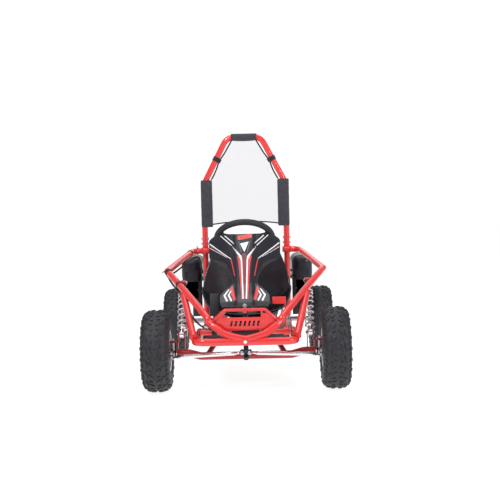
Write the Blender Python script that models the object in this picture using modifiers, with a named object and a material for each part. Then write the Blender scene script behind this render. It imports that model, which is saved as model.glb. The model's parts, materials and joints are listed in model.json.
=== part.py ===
"""Off-road kart for a child: a tube frame on two swing axles, with steering, pedals, seat and a safety net.

Metres, +Z up. The kart faces -Y, its driver's left is +X, and the origin is on the ground under its middle.
"""

import math

import bmesh
import bpy
from mathutils import Matrix, Vector

for old in list(bpy.data.objects):
    bpy.data.objects.remove(old, do_unlink=True)

# ---- Driving dimensions ----
WHEELBASE = 1.0
FRONT_Y = -WHEELBASE / 2
REAR_Y = WHEELBASE / 2
TYRE_RADIUS = 0.169
TYRE_HALF = 0.060
RIM_RADIUS = 0.076
FRONT_HALF_TRACK = 0.364
REAR_HALF_TRACK = 0.370
GAP = 0.0003
WHEEL_STEPS = 16
HALF_STEP = math.pi / WHEEL_STEPS
TREAD_CORNER = TYRE_RADIUS / math.cos(HALF_STEP)
WELD = 0.000002

FRAME_TUBE = 0.014
BUMPER_TUBE = 0.015
BUMPER_FRONT = 0.720
CRASH_BAR_TUBE = 0.012
CRASH_BAR_Z = 0.360
RAIL_X = 0.197
HOOP_X = 0.197
HOOP_Y = 0.220
HOOP_BEND_Z = 0.863
HOOP_TOP_Z = 1.087
HOOP_TOP_HALF = 0.080
HOOP_BEND = 0.060
TOP_SLEEVE_HALF = 0.062
HOOP_JOINT_Z = 0.562
SPIGOT_RADIUS = 0.0105
SPIGOT_LENGTH = 0.055

PIVOT_TUBE = 0.012
FRONT_PIVOT = Vector((0, -0.18, 0.185))
REAR_PIVOT = Vector((0, 0.262, 0.190))

WHEEL_HUB = Vector((0, -0.24, 0.612))
COLUMN_TILT = math.radians(52)
COLUMN_UP = Vector((0, math.cos(COLUMN_TILT), math.sin(COLUMN_TILT)))
PITMAN_AHEAD = Vector((0, -COLUMN_UP.z, COLUMN_UP.y))
COLUMN_RADIUS = 0.010
COLUMN_END = 0.594
HIGH_BUSH_AT = 0.200
LOW_BUSH_AT = 0.498
BUSH_RADIUS = 0.018
BUSH_HALF = 0.014
COLLAR_FROM_BUSH = 0.020
PITMAN_AT = 0.577
PITMAN_THICK = 0.005
PITMAN_REACH = 0.036
PITMAN_SPREAD = 0.015
ROD_END_RADIUS = 0.009
ROD_END_THICK = 0.010
TIE_ROD_RADIUS = 0.0080
TIE_ROD_STEM = 0.0045

BEAM_Z = 0.1435
BEAM_TUBE = 0.016
KINGPIN_X = 0.300
BEAM_RISE = 0.014
C_LOW = 0.145
C_HIGH = 0.202
C_PLATE = 0.006
C_BACK = 0.278
C_REACH = 0.3125
STEER_ARM_Z = 0.1605
OUTER_BALL = Vector((0.305, -0.552, 0.1495))

SHOCK_X = 0.2635
FRONT_SHOCK_LOW = Vector((SHOCK_X, FRONT_Y, 0.2326))
FRONT_SHOCK_HIGH = Vector((SHOCK_X, -0.345, 0.433))
REAR_SHOCK_LOW = Vector((0, 0.400, 0.235))
REAR_SHOCK_HIGH = Vector((0, 0.255, 0.430))
SPRING_RADIUS = 0.0185
SPRING_WIRE = 0.0026
SPRING_TURNS = 6
SEAT_ABOVE_LOWER_EYE = 0.032
SEAT_BELOW_UPPER_EYE = 0.046
SEAT_RADIUS = 0.021
EYE_RADIUS = 0.012

PEDAL_TUBE = 0.010
PEDAL_RING = 0.0155
PEDAL_AXIS = Vector((0, -0.585, 0.250))
PEDAL_LEAN = math.radians(-18)

AXLE_RADIUS = 0.0125
AXLE_SPROCKET_RADIUS = 0.070
MOTOR_SPROCKET_RADIUS = 0.020
CHAIN_X = 0.172
MOTOR_CENTRE = Vector((0.100, 0.375, 0.250))
MOTOR_RADIUS = 0.045
BRAKE_DISC_RADIUS = 0.072
STEEL_HUB_RADIUS = 0.022
SWINGARM_CROSS = Vector((0, 0.400, 0.1790))

# The centre line of a side bar, from its plugged end at the hoop to the middle of the bumper.
SIDE_BAR_START = [(0.176, 0.190, 0.543), (0.255, 0.190, 0.543)]
SIDE_BAR_ELBOW = (0.3360, -0.280, 0.480)
SIDE_BAR_END = [
    (0.1690, -0.620, 0.339),
    (0.1364, -0.665, 0.298),
    (0.1090, -0.682, 0.2784),
    (0.0738, -0.696, 0.2560),
    (0.0200, -0.705, 0.2420),
]

PARTS = bpy.data.collections.new("kart_chassis")
bpy.context.scene.collection.children.link(PARTS)


# ---- Materials ----
def paint(name, colour, roughness, metallic):
    material = bpy.data.materials.new(name)
    material.use_nodes = True
    shader = material.node_tree.nodes["Principled BSDF"]
    shader.inputs["Base Color"].default_value = (*colour, 1)
    shader.inputs["Roughness"].default_value = roughness
    shader.inputs["Metallic"].default_value = metallic
    return material


FRAME_RED = paint("frame_red", (0.80, 0.030, 0.030), 0.32, 0.0)
AXLE_RED = paint("axle_red", (0.45, 0.020, 0.025), 0.45, 0.0)
GLOSS_BLACK = paint("gloss_black", (0.016, 0.016, 0.020), 0.28, 0.0)
SEAT_BLACK = paint("seat_black", (0.022, 0.023, 0.028), 0.35, 0.0)
MATT_BLACK = paint("matt_black", (0.030, 0.030, 0.034), 0.60, 0.0)
GRIP_BLACK = paint("grip_black", (0.035, 0.036, 0.042), 0.65, 0.0)
TYRE_RUBBER = paint("tyre_rubber", (0.022, 0.022, 0.025), 0.85, 0.0)
CHROME = paint("chrome", (0.80, 0.80, 0.82), 0.12, 1.0)
STEEL = paint("steel", (0.45, 0.45, 0.47), 0.35, 1.0)
ALUMINIUM = paint("aluminium", (0.62, 0.63, 0.65), 0.35, 1.0)
SPRING_WHITE = paint("spring_white", (0.78, 0.78, 0.80), 0.30, 0.0)
NET_FABRIC = paint("net_fabric", (0.030, 0.030, 0.035), 0.90, 0.0)


# ---- Shape makers ----
def mesh_object(name, mesh):
    made = bpy.data.objects.new(name, mesh)
    PARTS.objects.link(made)
    return made


def solid(obj):
    """Puts the object's evaluated shape in its place as one welded mesh."""
    bpy.context.view_layer.update()
    graph = bpy.context.evaluated_depsgraph_get()
    mesh = bpy.data.meshes.new_from_object(obj.evaluated_get(graph))
    shape = bmesh.new()
    shape.from_mesh(mesh)
    bmesh.ops.transform(shape, matrix=obj.matrix_world, verts=shape.verts)
    bmesh.ops.remove_doubles(shape, verts=shape.verts, dist=WELD)
    bmesh.ops.dissolve_degenerate(shape, edges=shape.edges, dist=WELD)
    bmesh.ops.recalc_face_normals(shape, faces=shape.faces)
    shape.to_mesh(mesh)
    shape.free()
    name = obj.name
    bpy.data.objects.remove(obj, do_unlink=True)
    return mesh_object(name, mesh)


def keep_largest(obj):
    """Drops the slivers that a cut leaves beside the piece itself."""
    shape = bmesh.new()
    shape.from_mesh(obj.data)
    left = set(shape.verts)
    islands = []
    while left:
        island = set()
        front = [left.pop()]
        while front:
            vertex = front.pop()
            island.add(vertex)
            for edge in vertex.link_edges:
                other = edge.other_vert(vertex)
                if other in left:
                    left.remove(other)
                    front.append(other)
        islands.append(island)
    islands.sort(key=len)
    for island in islands[:-1]:
        bmesh.ops.delete(shape, geom=list(island), context="VERTS")
    shape.to_mesh(obj.data)
    shape.free()
    return obj


def combine(target, others, operation):
    for other in others:
        change = target.modifiers.new(operation.lower(), "BOOLEAN")
        change.operation = operation
        change.solver = "EXACT"
        change.object = other
        target = solid(target)
        bpy.data.objects.remove(other, do_unlink=True)
    return target


def join(target, *others):
    return combine(target, others, "UNION")


def cut(target, *others):
    return combine(target, others, "DIFFERENCE")


def tube(name, points, radius, resolution=2, cyclic=False):
    line = bpy.data.curves.new(name, "CURVE")
    line.dimensions = "3D"
    line.bevel_depth = radius
    line.bevel_resolution = resolution
    line.use_fill_caps = not cyclic
    line.twist_mode = "MINIMUM"
    spline = line.splines.new("POLY")
    spline.points.add(len(points) - 1)
    for point, place in zip(spline.points, points):
        point.co = (*place, 1)
    spline.use_cyclic_u = cyclic
    return solid(mesh_object(name, line))


def rod(name, start, end, radius, sides=12):
    """A straight round bar with flat ends."""
    start = Vector(start)
    along = Vector(end) - start
    shape = bmesh.new()
    bmesh.ops.create_cone(
        shape, cap_ends=True, segments=sides, radius1=radius, radius2=radius, depth=along.length
    )
    turn = along.to_track_quat("Z", "Y").to_matrix().to_4x4()
    bmesh.ops.transform(shape, matrix=Matrix.Translation(start + along / 2) @ turn, verts=shape.verts)
    mesh = bpy.data.meshes.new(name)
    shape.to_mesh(mesh)
    shape.free()
    return mesh_object(name, mesh)


def block(name, low, high, turn=None, about=(0, 0, 0)):
    """A box between two corners, turned about a point if a rotation is given."""
    low = Vector(low)
    high = Vector(high)
    shape = bmesh.new()
    bmesh.ops.create_cube(shape, size=1)
    size = high - low
    bmesh.ops.scale(shape, vec=size, verts=shape.verts)
    bmesh.ops.translate(shape, vec=(low + high) / 2, verts=shape.verts)
    if turn:
        bmesh.ops.rotate(shape, cent=about, matrix=turn, verts=shape.verts)
    mesh = bpy.data.meshes.new(name)
    shape.to_mesh(mesh)
    shape.free()
    return mesh_object(name, mesh)


def bevelled(obj, width, segments=2):
    edge = obj.modifiers.new("bevel", "BEVEL")
    edge.width = width
    edge.segments = segments
    edge.limit_method = "ANGLE"
    return solid(obj)


def turned(name, profile, centre, axis, steps, ring, phase=0.0):
    """A turned shape: (radius, height) points round an axis, a closed loop when it is a ring."""
    shape = bmesh.new()
    points = [shape.verts.new((radius, 0, height)) for radius, height in profile]
    for first, second in zip(points, points[1:]):
        shape.edges.new((first, second))
    if ring:
        shape.edges.new((points[-1], points[0]))
    mesh = bpy.data.meshes.new(name)
    shape.to_mesh(mesh)
    shape.free()
    made = mesh_object(name, mesh)
    turn = Vector(axis).to_track_quat("Z", "Y").to_matrix().to_4x4() @ Matrix.Rotation(phase, 4, "Z")
    made.matrix_world = Matrix.Translation(centre) @ turn
    screw = made.modifiers.new("turn", "SCREW")
    screw.steps = steps
    screw.render_steps = steps
    screw.use_merge_vertices = True
    screw.merge_threshold = WELD
    return solid(made)


def plate(name, outlines, thickness, matrix):
    """A flat piece: its outline, then the outlines of its holes, across the matrix's Z axis."""
    line = bpy.data.curves.new(name, "CURVE")
    line.dimensions = "2D"
    line.fill_mode = "BOTH"
    line.extrude = thickness / 2
    for outline in outlines:
        spline = line.splines.new("POLY")
        spline.points.add(len(outline) - 1)
        for point, (x, y) in zip(spline.points, outline):
            point.co = (x, y, 0, 1)
        spline.use_cyclic_u = True
    made = mesh_object(name, line)
    made.matrix_world = matrix
    return solid(made)


def sheet(name, rows, thickness):
    """A shell: an open grid of points, given thickness behind its face."""
    shape = bmesh.new()
    grid = [[shape.verts.new(point) for point in row] for row in rows]
    for upper, lower in zip(grid, grid[1:]):
        for column in range(len(upper) - 1):
            corners = (upper[column], upper[column + 1], lower[column + 1], lower[column])
            shape.faces.new(corners)
    mesh = bpy.data.meshes.new(name)
    shape.to_mesh(mesh)
    shape.free()
    made = mesh_object(name, mesh)
    wall = made.modifiers.new("wall", "SOLIDIFY")
    wall.thickness = thickness
    wall.offset = -1
    wall.use_even_offset = True
    return solid(made)


def rounded(points, radius, steps=3):
    """The same route with each inner corner turned into an arc."""
    points = [Vector(point) for point in points]
    route = [points[0]]
    for before, corner, after in zip(points, points[1:], points[2:]):
        back = (before - corner).normalized()
        ahead = (after - corner).normalized()
        half = back.angle(ahead) / 2
        reach = min(radius / math.tan(half), (before - corner).length * 0.49, (after - corner).length * 0.49)
        real = reach * math.tan(half)
        middle = corner + (back + ahead).normalized() * (real / math.sin(half))
        start = corner + back * reach - middle
        end = corner + ahead * reach - middle
        for step in range(steps + 1):
            share = step / steps
            spread = start.angle(end)
            first = math.sin((1 - share) * spread) / math.sin(spread)
            second = math.sin(share * spread) / math.sin(spread)
            route.append(middle + start * first + end * second)
    route.append(points[-1])
    return route


def mirrored(points, side):
    return [Vector((point[0] * side, point[1], point[2])) for point in points]


def pivot(name, place, parent=None):
    """An empty on a joint's axis, which its moving pieces hang from."""
    made = bpy.data.objects.new(name, None)
    PARTS.objects.link(made)
    made.empty_display_size = 0.04
    made.location = Vector(place) - (Vector(parent["place"]) if parent else Vector())
    made["place"] = tuple(place)
    made.parent = parent
    return made


def finish(obj, name, material, parent=None):
    """Names a piece, paints it, shades its round faces smooth and hangs it on its joint."""
    obj.name = name
    obj.data.name = name
    obj.data.materials.clear()
    obj.data.materials.append(material)
    obj.data.shade_smooth()
    obj.data.set_sharp_from_angle(angle=math.radians(35))
    if parent:
        place = Vector(parent["place"])
        obj.data.transform(Matrix.Translation(-place))
        obj.parent = parent
    return obj


SIDES = (("left", 1), ("right", -1))


# ---- Frame ----
def side_bar_route(side):
    bend = rounded([*SIDE_BAR_START, SIDE_BAR_ELBOW], 0.055)
    return mirrored([*bend, *SIDE_BAR_END], side)


def bumper_route():
    half = [(-RAIL_X, -0.620, 0.228), (-RAIL_X, -0.703, 0.228)]
    corner = half + mirrored(half[::-1], -1)
    return rounded(corner, 0.045)


def hoop_route():
    pole = [(HOOP_X, HOOP_Y, HOOP_JOINT_Z), (HOOP_X, HOOP_Y, HOOP_BEND_Z)]
    half = [*pole, (HOOP_TOP_HALF, HOOP_Y, HOOP_TOP_Z)]
    return rounded(half + [(-x, y, z) for x, y, z in reversed(half)], HOOP_BEND)


def build_bumper():
    bar = tube("front_bumper", bumper_route(), BUMPER_TUBE)
    tab = block("tab", (-0.011, -BUMPER_FRONT, 0.216), (0.011, -0.7130, 0.243))
    finish(join(bar, tab), "front_bumper", FRAME_RED)


def build_rails():
    for word, side in SIDES:
        route = [
            (RAIL_X, -0.620 + GAP, 0.228),
            (RAIL_X, -0.360, 0.228),
            (HOOP_X, -0.285, 0.190),
            (HOOP_X, HOOP_Y - FRAME_TUBE - GAP, 0.190),
        ]
        rail = tube("rail", mirrored(rounded(route, 0.06), side), FRAME_TUBE)
        finish(rail, f"lower_rail_{word}", FRAME_RED)


def build_uprights():
    for word, side in SIDES:
        route = mirrored([(0.199, -0.692, 0.236), (0.2570, -0.4555, 0.4015)], side)
        bar = tube("upright", route, FRAME_TUBE)
        bar = cut(bar, tube("cutter", bumper_route(), BUMPER_TUBE + GAP))
        bar = cut(bar, tube("cutter", side_bar_route(side), FRAME_TUBE + GAP))
        finish(keep_largest(bar), f"upright_{word}", FRAME_RED)


def build_side_bars():
    for word, side in SIDES:
        bar = tube("bar", side_bar_route(side), FRAME_TUBE)
        bar = keep_largest(cut(bar, tube("cutter", bumper_route(), BUMPER_TUBE + GAP)))
        outer = SHOCK_X + 0.0230
        ear = block("ear", (outer, -0.392, 0.4240), (outer + 0.005, -0.331, 0.4470))
        pin = rod("pin", (outer + 0.002, -0.345, 0.433), (SHOCK_X - 0.013, -0.345, 0.433), 0.005)
        ear = join(ear, pin)
        if side < 0:
            ear.data.transform(Matrix.Scale(-1, 4, (1, 0, 0)))
            ear.data.flip_normals()
        finish(join(bar, ear), f"side_bar_{word}", FRAME_RED)


def build_cross_tubes():
    reach = HOOP_X - FRAME_TUBE - GAP
    bar = rod("bar", (-reach, *FRONT_PIVOT.yz), (reach, *FRONT_PIVOT.yz), PIVOT_TUBE)
    finish(bar, "suspension_cross_tube", FRAME_RED)
    reach = 0.186
    bar = rod("bar", (-reach, PEDAL_AXIS.y, PEDAL_AXIS.z), (reach, PEDAL_AXIS.y, PEDAL_AXIS.z), PEDAL_TUBE)
    middle = WHEEL_HUB - COLUMN_UP * LOW_BUSH_AT
    bush = rod("bush", middle - COLUMN_UP * BUSH_HALF, middle + COLUMN_UP * BUSH_HALF, BUSH_RADIUS, 12)
    start = (0, PEDAL_AXIS.y + 0.004, PEDAL_AXIS.z - 0.002)
    link = rod("link", start, middle - Vector((0, 0.012, -0.009)), 0.008)
    bore = rod("bore", middle - COLUMN_UP * 0.03, middle + COLUMN_UP * 0.03, COLUMN_RADIUS + 0.0004, 12)
    finish(cut(join(bar, link, bush), bore), "pedal_cross_tube", FRAME_RED)


def build_front_bracket():
    y = -0.666
    loop = [(0.131, -0.670, 0.303), (0.080, y, 0.347), (-0.080, y, 0.347), (-0.131, -0.670, 0.303)]
    frame = tube("frame", rounded(loop, 0.012, 2), 0.0072)
    face = Matrix.Translation((0, y, 0)) @ Matrix.Rotation(math.radians(90), 4, "X")
    half = [(0.078, 0.3475), (0.118, 0.309), (0.110, 0.2885), (0.092, 0.2680)]
    outline = half + [(-x, z) for x, z in reversed(half)]
    slot = [(-0.084, 0.3205), (-0.066, 0.3440), (0.064, 0.3440), (0.064, 0.3205)]
    vents = []
    for number in range(7):
        left = -0.060 + number * 0.0175
        vents.append([(left, 0.285), (left + 0.008, 0.285), (left + 0.013, 0.305), (left + 0.005, 0.305)])
    frame = join(frame, plate("face", [outline, slot, *vents], 0.0035, face))
    middle = WHEEL_HUB - COLUMN_UP * HIGH_BUSH_AT
    post = rod("post", (0, -0.659, 0.341), middle - Vector((0, 0.014, 0.003)), 0.009, 10)
    bush = rod("bush", middle - COLUMN_UP * BUSH_HALF, middle + COLUMN_UP * BUSH_HALF, BUSH_RADIUS, 12)
    bore = rod("bore", middle - COLUMN_UP * 0.03, middle + COLUMN_UP * 0.03, COLUMN_RADIUS + 0.0004, 12)
    frame = cut(join(frame, post, bush), bore)
    for side in (1, -1):
        frame = cut(frame, tube("cutter", side_bar_route(side), FRAME_TUBE + GAP))
    finish(keep_largest(frame), "front_bracket", FRAME_RED)


def build_rear_frame():
    legs = [
        (HOOP_X, HOOP_Y, HOOP_JOINT_Z - GAP),
        (HOOP_X, HOOP_Y, 0.190),
        (-HOOP_X, HOOP_Y, 0.190),
        (-HOOP_X, HOOP_Y, HOOP_JOINT_Z - GAP),
    ]
    frame = tube("legs", rounded(legs, 0.045), FRAME_TUBE)
    frame = join(frame, rod("bar", (-HOOP_X, HOOP_Y, 0.440), (HOOP_X, HOOP_Y, 0.440), 0.0125))
    for side in (1, -1):
        foot = (HOOP_X * side, HOOP_Y, HOOP_JOINT_Z - 0.02)
        top = (HOOP_X * side, HOOP_Y, HOOP_JOINT_Z + SPIGOT_LENGTH)
        frame = join(frame, rod("spigot", foot, top, SPIGOT_RADIUS))
        x = 0.125 * side
        frame = join(frame, block("ear", (x - 0.003, 0.222, 0.176), (x + 0.003, 0.276, 0.204)))
        x = 0.0155 * side
        frame = join(frame, block("ear", (x - 0.0025, 0.222, 0.418), (x + 0.0025, 0.268, 0.443)))
    frame = join(frame, rod("pin", (-0.126, *REAR_PIVOT.yz), (0.126, *REAR_PIVOT.yz), 0.008))
    high = REAR_SHOCK_HIGH
    frame = join(frame, rod("pin", high - Vector((0.016, 0, 0)), high + Vector((0.016, 0, 0)), 0.005))
    finish(frame, "rear_frame", FRAME_RED)


def build_crash_bar():
    """A U of tube behind the axle, as far back as the bumper is forward."""
    back = BUMPER_FRONT - CRASH_BAR_TUBE
    start = HOOP_Y + FRAME_TUBE + GAP
    corners = [(HOOP_X, start), (HOOP_X, back), (-HOOP_X, back), (-HOOP_X, start)]
    route = rounded([(x, y, CRASH_BAR_Z) for x, y in corners], 0.060)
    finish(tube("bar", route, CRASH_BAR_TUBE), "rear_crash_bar", FRAME_RED)


def build_hoop():
    hoop = tube("hoop", hoop_route(), FRAME_TUBE)
    for side in (1, -1):
        foot = (HOOP_X * side, HOOP_Y, HOOP_JOINT_Z - 0.01)
        top = (HOOP_X * side, HOOP_Y, HOOP_JOINT_Z + SPIGOT_LENGTH + 0.002)
        hoop = cut(hoop, rod("bore", foot, top, SPIGOT_RADIUS + GAP))
    finish(hoop, "roll_hoop", FRAME_RED)


def build_floor():
    pan = block("pan", (-0.180, -0.470, 0.2040), (0.180, 0.190, 0.2070))
    for side in (1, -1):
        lip = block("lip", (0.177 * side - 0.0015, -0.470, 0.2055), (0.177 * side + 0.0015, -0.300, 0.2180))
        pan = join(pan, lip)
    finish(pan, "floor_pan", MATT_BLACK)
    mount = block("mount", (-0.095, -0.020, 0.2073), (0.095, 0.120, 0.2190))
    mount = cut(mount, block("window", (-0.070, 0.000, 0.190), (0.070, 0.100, 0.230)))
    finish(mount, "seat_mount", STEEL)


# ---- Safety net: one sewn piece of two pole sleeves, a top sleeve and the net between them ----
def build_net():
    half = [(0.163, 0.668), (0.163, 0.880), (0.122, 0.9715), (0.094, 1.010), (0.058, 1.070)]
    outline = half + [(-x, z) for x, z in reversed(half)]
    face = Matrix.Translation((0, HOOP_Y, 0)) @ Matrix.Rotation(math.radians(90), 4, "X")
    net = plate("net", [outline], 0.002, face)
    for side in (1, -1):
        low = min(0.156 * side, 0.2120 * side)
        high = max(0.156 * side, 0.2120 * side)
        sleeve = block("sleeve", (low, HOOP_Y - 0.0165, 0.656), (high, HOOP_Y + 0.0165, 0.884))
        net = join(net, bevelled(sleeve, 0.010, 1))
    low = (-TOP_SLEEVE_HALF, HOOP_Y - 0.0165, HOOP_TOP_Z - 0.0210)
    high = (TOP_SLEEVE_HALF, HOOP_Y + 0.0165, HOOP_TOP_Z + 0.0165)
    top = block("sleeve", low, high)
    net = join(net, bevelled(top, 0.010, 1))
    net = cut(net, tube("cutter", hoop_route(), FRAME_TUBE + GAP))
    finish(keep_largest(net), "safety_net", NET_FABRIC)


# ---- Body panels, seat ----
def fairing_rows():
    """Rows from the top edge to the foot; each runs from one edge over the raised middle to the other."""
    rows = [
        # ridge z, ridge y, ridge half width, edge x, edge y, edge z
        (0.637, -0.372, 0.0400, 0.128, -0.300, 0.6285),
        (0.611, -0.398, 0.0390, 0.153, -0.300, 0.6080),
        (0.531, -0.468, 0.0365, 0.150, -0.365, 0.5310),
        (0.507, -0.489, 0.0355, 0.087, -0.420, 0.5070),
        (0.468, -0.522, 0.0340, 0.057, -0.480, 0.4680),
        (0.442, -0.543, 0.0330, 0.051, -0.512, 0.4420),
        (0.399, -0.592, 0.0315, 0.099, -0.580, 0.3990),
        (0.3726, -0.640, 0.0300, 0.098, -0.632, 0.3726),
        (0.3570, -0.6555, 0.0300, 0.090, -0.6500, 0.3570),
    ]
    grid = []
    for z, y, half, edge_x, edge_y, edge_z in rows:
        valley = Vector((half + 0.009, y + 0.018, z))
        edge = Vector((edge_x, edge_y, edge_z))
        right = [Vector((0, y - 0.004, z)), Vector((half, y, z)), valley, edge]
        left = mirrored(reversed(right[1:]), -1)
        grid.append(left + right)
    return grid


def build_fairing():
    shell = sheet("fairing", fairing_rows(), 0.003)
    middle = Vector((0, -0.6535, 0.362))
    bolt = rod("bolt", middle, middle - Vector((0, 0.010, 0)), 0.006, 10)
    finish(join(shell, bolt), "front_fairing", GLOSS_BLACK)


def seat_rows(steps):
    """Rows from the front lip over the base and up the back; the sides rise into bolsters."""
    stations = [
        # y, z, half width of the flat, flare, bolster height, direction of the bolster (y, z)
        (-0.095, 0.262, 0.120, 0.045, 0.030, 0.10, 0.99),
        (-0.050, 0.240, 0.122, 0.065, 0.080, 0.00, 1.00),
        (0.030, 0.226, 0.125, 0.078, 0.130, 0.00, 1.00),
        (0.105, 0.228, 0.127, 0.078, 0.150, -0.20, 0.98),
        (0.158, 0.262, 0.130, 0.072, 0.145, -0.75, 0.66),
        (0.178, 0.330, 0.135, 0.066, 0.115, -0.98, 0.20),
        (0.184, 0.410, 0.135, 0.062, 0.085, -1.00, 0.00),
        (0.190, 0.500, 0.125, 0.045, 0.055, -1.00, 0.00),
        (0.195, 0.565, 0.105, 0.030, 0.030, -1.00, 0.00),
        (0.197, 0.598, 0.070, 0.020, 0.012, -1.00, 0.00),
    ]
    grid = []
    for y, z, flat, flare, height, lean_y, lean_z in stations:
        row = []
        for step in range(steps + 1):
            share = 2 * step / steps - 1
            rise = height * abs(share) ** 2.6
            x = flat * share + flare * share * abs(share)
            row.append(Vector((x, y + lean_y * rise, z + lean_z * rise)))
        grid.append(row)
    return grid


def build_seat():
    finish(sheet("seat", seat_rows(8), -0.005), "seat", SEAT_BLACK)


def build_mudguards():
    for word, side in SIDES:
        guard = bevelled(block("guard", (0.2215, 0.290, 0.330), (0.3235, 0.600, 0.508)), 0.024, 3)
        inside = bevelled(block("inside", (0.2245, 0.293, 0.200), (0.3205, 0.597, 0.505)), 0.022, 3)
        guard = cut(guard, inside)
        guard = cut(guard, block("wheel_room", (0.285, 0.306, 0.250), (0.400, 0.700, 0.410)))
        guard = cut(guard, block("trim", (0.200, 0.200, 0.250), (0.400, 0.700, 0.385)))
        upper = block("skirt", (0.2215, 0.290, 0.300), (0.3235, 0.293, 0.400))
        lower = block("flap", (0.2215, 0.290, 0.215), (0.2700, 0.293, 0.305))
        skirt = join(upper, lower)
        stay = block("stay", (HOOP_X + FRAME_TUBE + GAP, 0.226, 0.400), (0.2235, 0.350, 0.408))
        guard = join(guard, skirt, stay)
        if side < 0:
            guard.data.transform(Matrix.Scale(-1, 4, (1, 0, 0)))
            guard.data.flip_normals()
        finish(guard, f"mudguard_{word}", GLOSS_BLACK)


# ---- Wheels ----
def build_wheel(place, side, words, bore, hub, parent):
    """A pressed-steel rim with its hub, and the tyre on it, which stands on a flat of its tread.

    Heights in the profiles run outwards."""
    axis = Vector((side, 0, 0))
    rim = [
        (bore, -hub[0]),
        (0.024, -hub[0]),
        (0.024, 0.008),
        (0.070, 0.010),
        (0.0715, -0.052),
        (0.085, -0.052),
        (RIM_RADIUS, -0.045),
        (RIM_RADIUS, 0.045),
        (0.085, 0.052),
        (0.0715, 0.052),
        (0.070, 0.016),
        (0.024, 0.014),
        (0.024, hub[1]),
        (bore, hub[1]),
    ]
    finish(turned("rim", rim, place, axis, WHEEL_STEPS, True, HALF_STEP), f"rim_{words}", ALUMINIUM, parent)
    bead = RIM_RADIUS + 2 * GAP
    half = [
        (bead, 0.036),
        (bead, 0.0440),
        (0.0862, 0.0518),
        (0.110, TYRE_HALF),
        (0.150, TYRE_HALF - 0.001),
        (TREAD_CORNER, 0.042),
    ]
    inner = [(0.156, 0.040)]
    loop = half + [(r, -h) for r, h in reversed(half)] + [(r, -h) for r, h in reversed(inner)] + inner
    tyre = turned("tyre", loop, place, axis, WHEEL_STEPS, True, HALF_STEP)
    finish(tyre, f"tyre_{words}", TYRE_RUBBER, parent)


# ---- Shock absorbers ----
def build_shock(words, low, high, parent_high, parent_low):
    """A body with the upper eye, a rod with the lower eye, and the coil spring between their seats."""
    up = (high - low).normalized()
    long = (high - low).length
    sideways = Vector((1, 0, 0))
    seat_low = SEAT_ABOVE_LOWER_EYE
    seat_high = long - SEAT_BELOW_UPPER_EYE
    body = [
        (0.0, long - 0.052),
        (0.0068, long - 0.052),
        (0.0068, long * 0.50),
        (0.0120, long * 0.50),
        (0.0120, seat_high),
        (SEAT_RADIUS, seat_high),
        (SEAT_RADIUS, seat_high + 0.005),
        (0.0100, seat_high + 0.009),
        (0.0100, long - 0.006),
        (0.0, long - 0.006),
    ]
    upper = turned("body", body, low, up, 12, False)
    upper = join(upper, rod("eye", high - sideways * 0.011, high + sideways * 0.011, EYE_RADIUS, 12))
    upper = cut(upper, rod("bore", high - sideways * 0.03, high + sideways * 0.03, 0.0058, 12))
    finish(upper, f"shock_body_{words}", STEEL, parent_high)
    shaft = [
        (0.0, 0.006),
        (0.0100, 0.006),
        (0.0100, 0.022),
        (SEAT_RADIUS, seat_low - 0.005),
        (SEAT_RADIUS, seat_low),
        (0.0062, seat_low + 0.002),
        (0.0062, long * 0.58),
        (0.0, long * 0.58),
    ]
    lower = turned("rod", shaft, low, up, 12, False)
    lower = join(lower, rod("eye", low - sideways * 0.009, low + sideways * 0.009, EYE_RADIUS, 12))
    lower = cut(lower, rod("bore", low - sideways * 0.03, low + sideways * 0.03, 0.0056, 12))
    finish(lower, f"shock_rod_{words}", CHROME, parent_low)
    turn = up.to_track_quat("Z", "Y").to_matrix()
    bottom = seat_low + GAP + SPRING_WIRE + 0.0004
    top = seat_high - GAP - SPRING_WIRE - 0.0004
    points = []
    steps = SPRING_TURNS * 8
    for step in range(steps + 1):
        share = step / steps
        angle = math.tau * SPRING_TURNS * share
        height = bottom + (top - bottom) * share
        flat = SPRING_RADIUS * Vector((math.cos(angle), math.sin(angle), 0))
        points.append(low + turn @ (flat + Vector((0, 0, height))))
    spring = tube("spring", points, SPRING_WIRE, 0)
    finish(spring, f"shock_spring_{words}", SPRING_WHITE, parent_high)


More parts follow.
